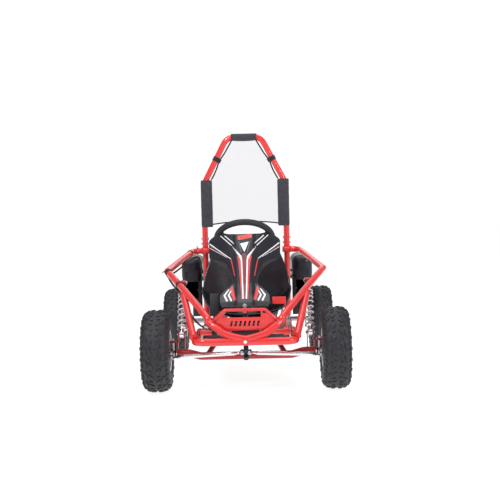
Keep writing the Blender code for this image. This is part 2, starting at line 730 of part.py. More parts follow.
# ---- Front axle ----
def build_front_axle(parent):
    half = [(0.187, BEAM_Z), (0.236, BEAM_Z + BEAM_RISE), (C_BACK + 0.002, BEAM_Z + BEAM_RISE)]
    route = [(-x, FRONT_Y, z) for x, z in reversed(half)] + [(x, FRONT_Y, z) for x, z in half]
    beam = tube("beam", rounded(route, 0.060), BEAM_TUBE)
    low = Vector((0.162, FRONT_Y + 0.004, BEAM_Z))
    for side in (1, -1):
        leg_end = (0.116 * side, *FRONT_PIVOT.yz)
        beam = join(beam, rod("leg", (low.x * side, low.y, low.z), leg_end, 0.011))
        y = (FRONT_Y - 0.014, FRONT_Y + 0.014)

        def across(x_in, x_out, z_low, z_high):
            first, last = sorted((x_in * side, x_out * side))
            return block("piece", (first, y[0], z_low), (last, y[1], z_high))

        beam = join(beam, across(C_BACK, C_BACK + C_PLATE, C_LOW - C_PLATE, C_HIGH + C_PLATE))
        beam = join(beam, across(C_BACK - 0.006, C_REACH, C_HIGH, C_HIGH + C_PLATE))
        beam = join(beam, across(C_BACK + 0.001, C_REACH, C_LOW - C_PLATE, C_LOW))
        beam = join(beam, across(SHOCK_X - 0.0145, SHOCK_X - 0.0115, 0.160, 0.2440))
        beam = join(beam, across(SHOCK_X + 0.0115, SHOCK_X + 0.0145, C_HIGH + 0.003, 0.2440))
        pin = FRONT_SHOCK_LOW
        ends = [(x * side, pin.y, pin.z) for x in (SHOCK_X - 0.0135, SHOCK_X + 0.0135)]
        beam = join(beam, rod("pin", *ends, 0.004, 10))
        hole = rod("hole", (KINGPIN_X * side, FRONT_Y, 0.10), (KINGPIN_X * side, FRONT_Y, 0.24), 0.0058)
        beam = cut(beam, hole)
        sleeve = rod("sleeve", (0.097 * side, *FRONT_PIVOT.yz), (0.135 * side, *FRONT_PIVOT.yz), 0.018, 12)
        beam = join(beam, sleeve)
    bore = rod("bore", (-0.2, *FRONT_PIVOT.yz), (0.2, *FRONT_PIVOT.yz), PIVOT_TUBE + 0.0006, 12)
    finish(cut(beam, bore), "front_axle", AXLE_RED, parent)


def build_knuckle(word, side, parent):
    """Kingpin sleeve with its bolt, stub axle and steering arm."""
    x = KINGPIN_X * side
    sleeve = rod("sleeve", (x, FRONT_Y, C_LOW + 0.0006), (x, FRONT_Y, C_HIGH - 0.0006), 0.0125, 12)
    sleeve = join(sleeve, rod("bolt", (x, FRONT_Y, C_LOW - 0.015), (x, FRONT_Y, C_HIGH + 0.015), 0.005, 10))
    for z in (C_HIGH + C_PLATE + 0.0008, C_LOW - C_PLATE - 0.0068):
        sleeve = join(sleeve, rod("nut", (x, FRONT_Y, z), (x, FRONT_Y, z + 0.006), 0.009, 6))
    stub_end = (0.416 * side, FRONT_Y, TYRE_RADIUS)
    sleeve = join(sleeve, rod("stub", (x, FRONT_Y, TYRE_RADIUS), stub_end, 0.008, 12))
    nut_start = ((FRONT_HALF_TRACK + 0.0358) * side, FRONT_Y, TYRE_RADIUS)
    sleeve = join(sleeve, rod("nut", nut_start, (0.4098 * side, FRONT_Y, TYRE_RADIUS), 0.013, 6))
    arm_start = Vector((x, FRONT_Y - 0.004, 0.163))
    arm_end = Vector((OUTER_BALL.x * side, OUTER_BALL.y - 0.012, 0.163))
    along = arm_end - arm_start
    turn = Matrix.Rotation(math.atan2(along.x, -along.y), 3, "Z")
    arm = block(
        "arm",
        (x - 0.009, arm_start.y - along.length, STEER_ARM_Z),
        (x + 0.009, arm_start.y, STEER_ARM_Z + 0.010),
        turn,
        arm_start,
    )
    finish(join(sleeve, arm), f"steering_knuckle_{word}", STEEL, parent)


# ---- Steering ----
def build_steering(parent):
    lower = WHEEL_HUB - COLUMN_UP * COLUMN_END
    column = rod("column", lower, WHEEL_HUB - COLUMN_UP * 0.0105, COLUMN_RADIUS, 12)
    for offset in (HIGH_BUSH_AT - COLLAR_FROM_BUSH, LOW_BUSH_AT - COLLAR_FROM_BUSH):
        middle = WHEEL_HUB - COLUMN_UP * offset
        half = COLUMN_UP * 0.003
        column = join(column, rod("collar", middle - half, middle + half, 0.015, 12))
    right = Vector((1, 0, 0))
    flat = Matrix((right, PITMAN_AHEAD, right.cross(PITMAN_AHEAD))).transposed().to_4x4()
    centre = WHEEL_HUB - COLUMN_UP * PITMAN_AT
    ahead = PITMAN_REACH + 0.007
    half = [(0.011, -0.014), (0.0225, PITMAN_REACH - 0.003), (0.0225, ahead)]
    outline = half + [(-x, y) for x, y in reversed(half)]
    pitman = plate("pitman", [outline], PITMAN_THICK, Matrix.Translation(centre) @ flat)
    finish(join(column, pitman), "steering_column", MATT_BLACK, parent)

    ring_radius = 0.1205
    grip = 0.0135
    profile = []
    for step in range(8):
        angle = math.tau * step / 8
        profile.append((ring_radius + grip * math.cos(angle), grip * math.sin(angle)))
    wheel = turned("wheel", profile, WHEEL_HUB, COLUMN_UP, 20, True)
    wheel = join(wheel, rod("hub", WHEEL_HUB - COLUMN_UP * 0.010, WHEEL_HUB + COLUMN_UP * 0.006, 0.034, 16))
    for degrees in (72, -72, 180):
        turn = flat @ Matrix.Rotation(math.radians(degrees), 4, "Z")
        spoke = block("spoke", (-0.012, 0.020, -0.0035), (0.012, ring_radius, 0.0035))
        spoke.data.transform(Matrix.Translation(WHEEL_HUB) @ turn)
        wheel = join(wheel, spoke)
    finish(wheel, "steering_wheel", GRIP_BLACK, parent)


def inner_ball(side):
    drop = PITMAN_AT + PITMAN_THICK / 2 + 0.0006 + ROD_END_THICK / 2
    return WHEEL_HUB - COLUMN_UP * drop + PITMAN_AHEAD * PITMAN_REACH + Vector((PITMAN_SPREAD * side, 0, 0))


def build_tie_rod(word, side, end_parent, rod_parent):
    ball = inner_ball(side)
    half = COLUMN_UP * (ROD_END_THICK / 2)
    finish(rod("end", ball - half, ball + half, ROD_END_RADIUS, 12), f"rod_end_{word}", STEEL, end_parent)
    far = Vector((OUTER_BALL.x * side, OUTER_BALL.y, OUTER_BALL.z))
    along = (far - ball).normalized()
    stem = rod("stem", ball + along * (ROD_END_RADIUS + 0.0100), far - along * 0.004, TIE_ROD_STEM, 10)
    bar = rod("bar", ball + along * 0.030, far - along * 0.026, TIE_ROD_RADIUS, 12)
    eye = rod("eye", far - Vector((0, 0, 0.005)), far + Vector((0, 0, 0.005)), 0.0095, 12)
    finish(join(bar, stem, eye), f"tie_rod_{word}", CHROME, rod_parent)


# ---- Pedals ----
def pedal_ring(x_low, x_high):
    """A sleeve that turns on the pedal tube."""
    return rod("ring", (x_low, *PEDAL_AXIS.yz), (x_high, *PEDAL_AXIS.yz), PEDAL_RING, 12)


def pedal_bore(x_low, x_high):
    ends = (x_low - 0.01, *PEDAL_AXIS.yz), (x_high + 0.01, *PEDAL_AXIS.yz)
    return rod("bore", *ends, PEDAL_TUBE + 0.0005, 12)


def build_pedals(brake_parent, throttle_parent):
    lean = Matrix.Rotation(PEDAL_LEAN, 3, "X")
    foot = PEDAL_AXIS
    low = (0.1585, foot.y - 0.005, foot.z + 0.005)
    high = (0.1645, foot.y + 0.005, foot.z + 0.125)
    arm = block("arm", low, high, lean, foot)
    low = (0.110, foot.y - 0.004, foot.z + 0.112)
    high = (0.1650, foot.y + 0.002, foot.z + 0.142)
    pad = block("pad", low, high, lean, foot)
    brake = cut(join(pedal_ring(0.152, 0.172), arm, pad), pedal_bore(0.152, 0.172))
    finish(brake, "brake_pedal", FRAME_RED, brake_parent)
    low = (-0.129, foot.y - 0.004, foot.z + 0.005)
    high = (-0.119, foot.y + 0.004, foot.z + 0.100)
    arm = block("arm", low, high, lean, foot)
    low = (-0.142, foot.y - 0.006, foot.z + 0.068)
    high = (-0.106, foot.y + 0.002, foot.z + 0.160)
    pad = block("pad", low, high, lean, foot)
    throttle = cut(join(pedal_ring(-0.134, -0.114), arm, pad), pedal_bore(-0.134, -0.114))
    finish(throttle, "throttle_pedal", MATT_BLACK, throttle_parent)


def build_master_cylinder():
    barrel = rod("barrel", (0.1680, -0.535, 0.276), (0.1680, -0.455, 0.276), 0.0115, 14)
    tank = rod("tank", (0.1680, -0.480, 0.280), (0.1680, -0.480, 0.312), 0.0130, 14)
    foot = block("foot", (0.1640, -0.505, 0.2425), (0.1720, -0.465, 0.270))
    shelf = block("shelf", (0.1640, -0.505, 0.2425), (0.1950, -0.465, 0.2455))
    finish(join(barrel, tank, foot, shelf), "brake_master_cylinder", ALUMINIUM)


def build_cable():
    """The throttle cable, tied under the right-hand side bar from the pedal to the back of the seat."""
    route = [
        (-0.150, -0.548, 0.262),
        (-0.180, -0.535, 0.272),
        (-0.205, -0.515, 0.292),
        (-0.225, -0.490, 0.318),
        (-0.246, -0.466, 0.350),
        (-0.258, -0.452, 0.378),
        (-0.271, -0.430, 0.397),
        (-0.2865, -0.400, 0.4105),
        (-0.3105, -0.350, 0.4310),
        (-0.3290, -0.300, 0.4530),
        (-0.3290, -0.262, 0.4600),
        (-0.3100, -0.180, 0.4700),
        (-0.2925, -0.090, 0.4825),
        (-0.2735, 0.010, 0.4965),
        (-0.2550, 0.100, 0.5080),
        (-0.243, 0.160, 0.5150),
        (-0.228, 0.192, 0.5100),
        (-0.222, 0.225, 0.4800),
        (-0.219, 0.250, 0.4480),
        (-0.205, 0.272, 0.4250),
        (-0.1845, 0.285, 0.4120),
    ]
    places = [Vector(place) for place in route]
    smooth = []
    for number in range(len(places) - 1):
        before = places[max(number - 1, 0)]
        start = places[number]
        end = places[number + 1]
        after = places[min(number + 2, len(places) - 1)]
        for step in range(2):
            t = step / 2
            smooth.append(
                0.5
                * (
                    2 * start
                    + (end - before) * t
                    + (2 * before - 5 * start + 4 * end - after) * t * t
                    + (3 * start - before - 3 * end + after) * t * t * t
                )
            )
    smooth.append(places[-1])
    finish(tube("cable", smooth, 0.0035, 2), "throttle_cable", MATT_BLACK)


# ---- Rear ----
def build_swingarm(parent):
    half = Vector((0.120, 0, 0))
    arm = rod("cross", SWINGARM_CROSS - half, SWINGARM_CROSS + half, 0.0110)
    for side in (1, -1):
        sleeve = rod("sleeve", (0.080 * side, *REAR_PIVOT.yz), (0.1215 * side, *REAR_PIVOT.yz), 0.0160, 12)
        start = (0.102 * side, REAR_PIVOT.y + 0.004, REAR_PIVOT.z)
        bar = rod("bar", start, (0.128 * side, REAR_Y - 0.010, TYRE_RADIUS), 0.0125)
        start = (0.108 * side, REAR_Y, TYRE_RADIUS)
        house = rod("house", start, (0.148 * side, REAR_Y, TYRE_RADIUS), 0.0260, 12)
        arm = join(arm, sleeve, bar, house)
        ear_x = 0.0150 * side
        arm = join(arm, block("ear", (ear_x - 0.0025, 0.388, 0.172), (ear_x + 0.0025, 0.412, 0.246)))
    arm = join(arm, block("motor_seat", (0.052, 0.345, 0.1905), (0.128, 0.408, 0.1960)))
    arm = join(arm, block("motor_web", (0.060, 0.380, 0.170), (0.118, 0.400, 0.1950)))
    plate_x = -0.1560
    arm = join(arm, block("caliper_plate", (plate_x - 0.003, 0.435, 0.160), (plate_x + 0.003, 0.480, 0.262)))
    arm = join(arm, block("caliper_web", (plate_x - 0.001, 0.440, 0.160), (-0.128, 0.470, 0.178)))
    low = REAR_SHOCK_LOW
    arm = join(arm, rod("pin", low - Vector((0.0155, 0, 0)), low + Vector((0.0155, 0, 0)), 0.004, 10))
    arm = cut(arm, rod("bore", (-0.2, *REAR_PIVOT.yz), (0.2, *REAR_PIVOT.yz), 0.0085, 12))
    bore = rod("bore", (-0.2, REAR_Y, TYRE_RADIUS), (0.2, REAR_Y, TYRE_RADIUS), AXLE_RADIUS + 0.0006, 12)
    arm = cut(arm, bore)
    finish(arm, "rear_swingarm", AXLE_RED, parent)


def build_rear_axle(parent):
    centre = Vector((0, REAR_Y, TYRE_RADIUS))
    reach = Vector((0.4205, 0, 0))
    axle = rod("axle", centre - reach, centre + reach, AXLE_RADIUS - 0.0005, 12)
    finish(axle, "rear_axle", STEEL, parent)
    for x, radius, name, material, thick in (
        (CHAIN_X, AXLE_SPROCKET_RADIUS - 0.0022, "axle_sprocket", STEEL, 0.004),
        (-CHAIN_X, BRAKE_DISC_RADIUS, "brake_disc", STEEL, 0.003),
    ):
        bore = AXLE_RADIUS
        side = math.copysign(1, x)
        profile = [
            (bore, -0.010),
            (STEEL_HUB_RADIUS, -0.010),
            (STEEL_HUB_RADIUS, -thick / 2),
            (radius, -thick / 2),
            (radius, thick / 2),
            (STEEL_HUB_RADIUS, thick / 2),
            (STEEL_HUB_RADIUS, 0.012),
            (bore, 0.012),
        ]
        wheel = turned("disc", profile, (x, REAR_Y, TYRE_RADIUS), (side, 0, 0), 20, True)
        for number in range(5):
            angle = math.tau * (number + 0.5) / 5
            spot = Vector((0, REAR_Y + 0.045 * math.cos(angle), TYRE_RADIUS + 0.045 * math.sin(angle)))
            hole = rod("hole", spot + Vector((x - 0.02, 0, 0)), spot + Vector((x + 0.02, 0, 0)), 0.009, 6)
            wheel = cut(wheel, hole)
        finish(wheel, name, material, parent)


def build_caliper(parent):
    x = -CHAIN_X
    body = block("body", (x - 0.016, 0.438, 0.190), (x + 0.0128, 0.478, 0.238))
    slot = block("slot", (x - 0.0021, 0.400, 0.150), (x + 0.0021, 0.540, 0.2405))
    around = rod("round", (x - 0.03, REAR_Y, TYRE_RADIUS), (x + 0.03, REAR_Y, TYRE_RADIUS), 0.0235, 12)
    slot = cut(slot, block("bridge", (x - 0.03, 0.400, 0.2320), (x + 0.03, 0.4420, 0.2450)))
    body = cut(body, slot, around)
    finish(keep_largest(body), "brake_caliper", ALUMINIUM, parent)


def chain_loop(first, second, radius_first, radius_second, grow, steps):
    """The outline of a belt round two circles, in the YZ plane."""
    span = second - first
    distance = span.length
    heading = math.atan2(span.y, span.x)
    spread = math.acos((radius_first - radius_second) / distance)
    loop = []
    for centre, radius, start, end in (
        (first, radius_first + grow, heading + spread, heading + math.tau - spread),
        (second, radius_second + grow, heading - spread, heading + spread),
    ):
        for step in range(steps + 1):
            angle = start + (end - start) * step / steps
            loop.append((centre.x + radius * math.cos(angle), centre.y + radius * math.sin(angle)))
    return loop


def build_drive(swingarm, motor_spin):
    axle = Vector((REAR_Y, TYRE_RADIUS))
    motor = Vector((MOTOR_CENTRE.y, MOTOR_CENTRE.z))
    # A plate lies across its matrix's Z, so local X, Y and Z become the world's Y, Z and X.
    turn = Matrix(((0, 0, 1, 0), (1, 0, 0, 0), (0, 1, 0, 0), (0, 0, 0, 1)))
    upright = Matrix.Translation((CHAIN_X, 0, 0)) @ turn
    outer = chain_loop(axle, motor, AXLE_SPROCKET_RADIUS, MOTOR_SPROCKET_RADIUS, 0.0065, 10)
    inner = chain_loop(axle, motor, AXLE_SPROCKET_RADIUS, MOTOR_SPROCKET_RADIUS, 0.0, 10)
    finish(plate("chain", [outer, inner], 0.008, upright), "drive_chain", STEEL, swingarm)

    radius = MOTOR_SPROCKET_RADIUS - 0.0010
    shaft_start = MOTOR_CENTRE + Vector((0.0503, 0, 0))
    shaft = rod("shaft", shaft_start, MOTOR_CENTRE + Vector((0.082, 0, 0)), 0.006, 10)
    start = (CHAIN_X - 0.003, *MOTOR_CENTRE.yz)
    teeth = rod("teeth", start, (CHAIN_X + 0.003, *MOTOR_CENTRE.yz), radius, 14)
    finish(join(shaft, teeth), "motor_sprocket", STEEL, motor_spin)

    start = MOTOR_CENTRE - Vector((0.055, 0, 0))
    body = rod("motor", start, MOTOR_CENTRE + Vector((0.050, 0, 0)), MOTOR_RADIUS, 16)
    foot = block("foot", (0.058, 0.348, 0.1964), (0.122, 0.402, 0.215))
    cap = rod("cap", MOTOR_CENTRE - Vector((0.060, 0, 0)), MOTOR_CENTRE - Vector((0.054, 0, 0)), 0.030, 16)
    finish(join(body, foot, cap), "drive_motor", MATT_BLACK, swingarm)


def build_battery():
    box = bevelled(block("box", (-0.180, 0.262, 0.270), (-0.045, 0.360, 0.430)), 0.006)
    stay = block("stay", (-0.170, HOOP_Y + 0.0128 + GAP, 0.432), (-0.055, 0.300, 0.4355))
    link = block("link", (-0.120, 0.262, 0.425), (-0.100, 0.300, 0.4345))
    finish(join(box, link, stay), "battery_box", MATT_BLACK)


# ---- Assembly ----
def main():
    build_bumper()
    build_rails()
    build_uprights()
    build_side_bars()
    build_cross_tubes()
    build_front_bracket()
    build_rear_frame()
    build_crash_bar()
    build_hoop()
    build_floor()
    build_net()
    build_fairing()
    build_seat()
    build_mudguards()
    build_master_cylinder()
    build_cable()
    build_battery()

    steering = pivot("steering_joint", WHEEL_HUB)
    build_steering(steering)
    for word, side in SIDES:
        end = pivot(f"rod_end_{word}_joint", inner_ball(side), steering)
        bar = pivot(f"tie_rod_{word}_joint", inner_ball(side), end)
        build_tie_rod(word, side, end, bar)

    front = pivot("front_axle_joint", FRONT_PIVOT)
    build_front_axle(front)
    for word, side in SIDES:
        knuckle = pivot(f"knuckle_{word}_joint", (KINGPIN_X * side, FRONT_Y, 0.1665), front)
        build_knuckle(word, side, knuckle)
        place = Vector((FRONT_HALF_TRACK * side, FRONT_Y, TYRE_RADIUS))
        spin = pivot(f"front_wheel_{word}_joint", place, knuckle)
        build_wheel(place, side, f"front_{word}", 0.0084, (0.030, 0.0350), spin)

    upper = pivot("front_shock_joint", (0, *FRONT_SHOCK_HIGH.yz))
    lower = pivot("front_shock_rod_joint", (0, *FRONT_SHOCK_LOW.yz), upper)
    for word, side in SIDES:
        low = Vector((FRONT_SHOCK_LOW.x * side, *FRONT_SHOCK_LOW.yz))
        high = Vector((FRONT_SHOCK_HIGH.x * side, *FRONT_SHOCK_HIGH.yz))
        build_shock(f"front_{word}", low, high, upper, lower)

    swingarm = pivot("swingarm_joint", REAR_PIVOT)
    build_swingarm(swingarm)
    upper = pivot("rear_shock_joint", REAR_SHOCK_HIGH)
    lower = pivot("rear_shock_rod_joint", REAR_SHOCK_LOW, upper)
    build_shock("rear", REAR_SHOCK_LOW, REAR_SHOCK_HIGH, upper, lower)
    spin = pivot("rear_axle_joint", (0, REAR_Y, TYRE_RADIUS), swingarm)
    build_rear_axle(spin)
    for word, side in SIDES:
        place = Vector((REAR_HALF_TRACK * side, REAR_Y, TYRE_RADIUS))
        build_wheel(place, side, f"rear_{word}", AXLE_RADIUS, (0.040, 0.0400), spin)
    build_caliper(swingarm)
    build_drive(swingarm, pivot("motor_joint", MOTOR_CENTRE, swingarm))
    build_pedals(pivot("brake_pedal_joint", PEDAL_AXIS), pivot("throttle_pedal_joint", PEDAL_AXIS))


main()
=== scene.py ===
"""The looks of the off-road kart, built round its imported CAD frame.

Metres, +Z up. The kart faces -Y and its driver's left is +X. Each piece names the CAD node that it rides
with, and stands for that node unless another piece already does.
"""

import json
import math

import bmesh
import bpy
from mathutils import Matrix, Vector, noise
from mathutils.bvhtree import BVHTree


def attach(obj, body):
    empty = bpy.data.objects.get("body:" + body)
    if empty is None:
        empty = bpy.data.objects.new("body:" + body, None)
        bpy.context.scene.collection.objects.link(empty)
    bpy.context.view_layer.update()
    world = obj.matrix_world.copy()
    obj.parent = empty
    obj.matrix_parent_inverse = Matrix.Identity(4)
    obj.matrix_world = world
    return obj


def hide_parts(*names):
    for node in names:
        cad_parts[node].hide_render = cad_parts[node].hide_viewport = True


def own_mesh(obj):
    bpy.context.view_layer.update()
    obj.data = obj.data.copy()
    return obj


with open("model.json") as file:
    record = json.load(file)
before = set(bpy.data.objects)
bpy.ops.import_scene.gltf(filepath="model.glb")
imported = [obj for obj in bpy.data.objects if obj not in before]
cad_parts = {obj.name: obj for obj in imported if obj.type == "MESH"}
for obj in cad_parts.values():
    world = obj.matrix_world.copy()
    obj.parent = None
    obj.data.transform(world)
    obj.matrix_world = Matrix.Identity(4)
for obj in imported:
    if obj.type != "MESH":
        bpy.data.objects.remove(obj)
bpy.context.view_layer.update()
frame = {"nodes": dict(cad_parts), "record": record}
RECORD = frame["record"]
BODY = {node: body for body, nodes in RECORD["behaviour"]["bodies"].items() for node in nodes}
SIDES = (("left", 1), ("right", -1))

# ---- Driving dimensions, the same as the CAD model's ----
FRONT_Y = -0.5
REAR_Y = 0.5
TYRE_RADIUS = 0.169
FRONT_HALF_TRACK = 0.364
REAR_HALF_TRACK = 0.370
FRAME_TUBE = 0.014
BUMPER_TUBE = 0.015
BUMPER_FRONT = 0.720
RAIL_X = 0.197
RAIL_Z = 0.190
BUMPER_Z = 0.228
SIDE_BAR_Y = 0.190
SIDE_BAR_Z = 0.543
CROSS_BAR_Z = 0.440
CRASH_BAR_Z = 0.360
HOOP_X = 0.197
HOOP_Y = 0.220
HOOP_BEND_Z = 0.863
HOOP_TOP_Z = 1.087
HOOP_TOP_HALF = 0.080
HOOP_JOINT_Z = 0.562
FRONT_PIVOT = Vector((0, -0.18, 0.185))
REAR_PIVOT = Vector((0, 0.262, 0.190))
WHEEL_HUB = Vector((0, -0.24, 0.612))
COLUMN_TILT = math.radians(52)
COLUMN_UP = Vector((0, math.cos(COLUMN_TILT), math.sin(COLUMN_TILT)))
PITMAN_AHEAD = Vector((0, -COLUMN_UP.z, COLUMN_UP.y))
COLUMN_BEARING = (0.0104, 0.018, (-0.014, 0.014))  # bore, outer radius, ends
COLUMN_END = 0.594
PITMAN_AT = 0.577
PITMAN_REACH = 0.036
PITMAN_SPREAD = 0.015
BALL_DROP = 0.0081
BEAM_Z = 0.1435
BEAM_RISE = 0.014
KINGPIN_X = 0.300
C_LOW = 0.145
C_HIGH = 0.202
C_PLATE = 0.006
C_BACK = 0.278
C_REACH = 0.3125
OUTER_BALL = Vector((0.305, -0.552, 0.1495))
SHOCK_X = 0.2635
FRONT_SHOCK_LOW = Vector((SHOCK_X, FRONT_Y, 0.2326))
FRONT_SHOCK_HIGH = Vector((SHOCK_X, -0.345, 0.433))
REAR_SHOCK_LOW = Vector((0, 0.400, 0.235))
REAR_SHOCK_HIGH = Vector((0, 0.255, 0.430))
PEDAL_AXIS = Vector((0, -0.585, 0.250))
CHAIN_X = 0.172
CHAIN_PITCH = 0.0127
MOTOR_CENTRE = Vector((0.100, 0.375, 0.250))
SIDE_BAR_START = [(0.176, SIDE_BAR_Y, SIDE_BAR_Z), (0.255, SIDE_BAR_Y, SIDE_BAR_Z)]
SIDE_BAR_ELBOW = (0.3360, -0.280, 0.480)
SIDE_BAR_END = [
    (0.1690, -0.620, 0.339),
    (0.1364, -0.665, 0.298),
    (0.1090, -0.682, 0.2784),
    (0.0738, -0.696, 0.2560),
    (0.0200, -0.705, 0.2420),
]


# ---- Camera and light ----
def new_node(tree, kind, **values):
    """A shader node with some inputs set; an underscore in an input's name stands for a space."""
    made = tree.nodes.new("ShaderNode" + kind)
    for socket, value in values.items():
        made.inputs[socket.replace("_", " ")].default_value = value
    return made


def build_camera():
    """A long lens ahead of the bumper, slightly above it and nearly level."""
    yaw = math.radians(0.478)
    pitch = math.radians(2.699)
    roll = math.radians(1.315)
    right = Vector((math.cos(yaw), math.sin(yaw), 0))
    forward = Vector((-math.sin(yaw) * math.cos(pitch), math.cos(yaw) * math.cos(pitch), -math.sin(pitch)))
    up = right.cross(forward)
    across = right * math.cos(roll) - up * math.sin(roll)
    above = right * math.sin(roll) + up * math.cos(roll)
    data = bpy.data.cameras.new("camera")
    data.lens = 67.85
    data.sensor_width = 36
    camera = bpy.data.objects.new("camera", data)
    bpy.context.scene.collection.objects.link(camera)
    camera.matrix_world = Matrix.Translation((0.0564, -4.34, 0.7556)) @ Matrix(
        (across, above, -forward)
    ).transposed().to_4x4()
    bpy.context.scene.camera = camera


def area_light(name, place, height, size, power):
    """A square soft box that faces a point above the middle of the floor."""
    data = bpy.data.lights.new(name, "AREA")
    data.size = size
    data.energy = power
    lamp = bpy.data.objects.new(name, data)
    bpy.context.scene.collection.objects.link(lamp)
    lamp.location = place
    target = Vector((0, 0, height))
    lamp.rotation_euler = (target - Vector(place)).to_track_quat("-Z", "Y").to_euler()


def build_studio():
    """White surroundings, which light the kart less than they show, and soft boxes above it."""
    bpy.context.scene.view_settings.view_transform = "Standard"
    world = bpy.data.worlds.new("studio")
    world.use_nodes = True
    bpy.context.scene.world = world
    tree = world.node_tree
    seen = tree.nodes["Background"]
    seen.inputs["Color"].default_value = (1, 1, 1, 1)
    seen.inputs["Strength"].default_value = 1.05
    lit = new_node(tree, "Background", Color=(0.97, 0.98, 1, 1), Strength=0.36)
    ray = new_node(tree, "LightPath")
    choice = new_node(tree, "MixShader")
    tree.links.new(ray.outputs["Is Camera Ray"], choice.inputs[0])
    tree.links.new(lit.outputs[0], choice.inputs[1])
    tree.links.new(seen.outputs[0], choice.inputs[2])
    tree.links.new(choice.outputs[0], tree.nodes["World Output"].inputs["Surface"])
    area_light("key", (-1.6, -2.6, 3.4), 0.4, 0.9, 76)
    area_light("fill", (2.6, -2.4, 1.9), 0.4, 0.9, 40)
    area_light("top", (0, 0.2, 3.4), 0.4, 2.4, 36)
    area_light("back", (0.6, 3.4, 2.2), 0.5, 2.4, 18)

    shape = bmesh.new()
    bmesh.ops.create_grid(shape, x_segments=1, y_segments=1, size=30)
    mesh = bpy.data.meshes.new("studio_floor")
    shape.to_mesh(mesh)
    shape.free()
    floor = bpy.data.objects.new("studio_floor", mesh)
    bpy.context.scene.collection.objects.link(floor)
    pale = bpy.data.materials.new("studio_white")
    pale.use_nodes = True
    shader = pale.node_tree.nodes["Principled BSDF"]
    shader.inputs["Base Color"].default_value = (0.35, 0.35, 0.35, 1)
    shader.inputs["Roughness"].default_value = 0.9
    shader.inputs["Specular IOR Level"].default_value = 0.0
    shader.inputs["Emission Color"].default_value = (1, 1, 1, 1)
    shader.inputs["Emission Strength"].default_value = 0.90
    mesh.materials.append(pale)


# ---- Materials: noise in the kart's own space varies their colour, roughness and bump ----
SHINE_SPREAD = 0.05  # how far the roughness strays to either side


def look(
    name, colour, roughness, metallic=0.0, *, vary=0.12, patch=0.05, grain=0.0015, bump=0.04, sockets=None
):
    """Vary is how far the colour strays; patch and grain are the sizes of the broad and the fine noise."""
    material = bpy.data.materials.new(name)
    material.use_nodes = True
    tree = material.node_tree
    link = tree.links.new
    shader = tree.nodes["Principled BSDF"]
    place = new_node(tree, "TexCoord")
    broad = new_node(tree, "TexNoise", Scale=1 / patch, Detail=3)
    fine = new_node(tree, "TexNoise", Scale=1 / grain, Detail=2)
    for texture in (broad, fine):
        link(place.outputs["Object"], texture.inputs["Vector"])
    ramp = new_node(tree, "ValToRGB")
    for element, position, scale in zip(ramp.color_ramp.elements, (0.3, 0.7), (1 - vary, 1 + vary)):
        element.position = position
        element.color = (*(min(1, part * scale) for part in colour), 1)
    link(broad.outputs["Fac"], ramp.inputs["Fac"])
    link(ramp.outputs["Color"], shader.inputs["Base Color"])
    shine = new_node(
        tree, "MapRange", To_Min=max(0.02, roughness - SHINE_SPREAD), To_Max=roughness + SHINE_SPREAD
    )
    link(broad.outputs["Fac"], shine.inputs["Value"])
    link(shine.outputs["Result"], shader.inputs["Roughness"])
    relief = new_node(tree, "Bump", Strength=bump, Distance=0.001)
    link(fine.outputs["Fac"], relief.inputs["Height"])
    link(relief.outputs["Normal"], shader.inputs["Normal"])
    shader.inputs["Metallic"].default_value = metallic
    for socket, value in (sockets or {}).items():
        shader.inputs[socket].default_value = value
    return material


def woven(name, colour, thread, alpha=None):
    """Cloth with crossed threads in relief; with an alpha it is a see-through mesh of those threads."""
    sheen = {"Sheen Weight": 0.25}
    material = look(name, colour, 0.85, vary=0.18, patch=0.02, grain=0.0008, bump=0.1, sockets=sheen)
    tree = material.node_tree
    link = tree.links.new
    shader = tree.nodes["Principled BSDF"]
    place = new_node(tree, "TexCoord")
    split = new_node(tree, "SeparateXYZ")
    link(place.outputs["Object"], split.inputs["Vector"])

    def sums(operation, *sources):
        made = new_node(tree, "Math")
        made.operation = operation
        for number, source in enumerate(sources):
            link(source, made.inputs[number])
        return made

    waves = []
    for axis in ("X", "Z"):
        times = sums("MULTIPLY", split.outputs[axis])
        times.inputs[1].default_value = math.pi / thread
        sine = sums("SINE", times.outputs[0])
        waves.append(sums("ABSOLUTE", sine.outputs[0]).outputs[0])
    larger = sums("MAXIMUM", *waves)
    relief = new_node(tree, "Bump", Strength=0.35, Distance=0.0006)
    link(larger.outputs[0], relief.inputs["Height"])
    link(relief.outputs["Normal"], shader.inputs["Normal"])
    if alpha:
        cover = new_node(tree, "MapRange", From_Min=0.80, From_Max=1.0, To_Min=alpha[0], To_Max=alpha[1])
        link(larger.outputs[0], cover.inputs["Value"])
        link(cover.outputs["Result"], shader.inputs["Alpha"])
    return material


RED = look("frame_red", (0.78, 0.022, 0.022), 0.34, vary=0.05, patch=0.09, grain=0.006, bump=0.008,
           sockets={"Coat Weight": 0.75, "Coat Roughness": 0.09})
AXLE_RED = look("axle_red", (0.42, 0.012, 0.018), 0.42, vary=0.14, patch=0.05, grain=0.002, bump=0.06,
                sockets={"Coat Weight": 0.2, "Coat Roughness": 0.25})
WELD_RED = look("weld_red", (0.60, 0.014, 0.014), 0.38, vary=0.18, patch=0.006, grain=0.0012, bump=0.25)
GLOSS = look("gloss_black", (0.011, 0.011, 0.018), 0.34, vary=0.2, patch=0.07, grain=0.0011, bump=0.04,
             sockets={"Coat Weight": 0.20, "Coat Roughness": 0.16, "Specular IOR Level": 0.40})
SEAT = look("seat_black", (0.006, 0.007, 0.014), 0.24, vary=0.2, patch=0.08, grain=0.0013, bump=0.03,
            sockets={"Coat Weight": 0.35, "Coat Roughness": 0.08})
MATT = look("matt_black", (0.012, 0.012, 0.017), 0.58, vary=0.25, patch=0.03, grain=0.001, bump=0.16)
BLACK_METAL = look("black_metal", (0.016, 0.016, 0.020), 0.42, vary=0.2, patch=0.04, grain=0.0012, bump=0.08)
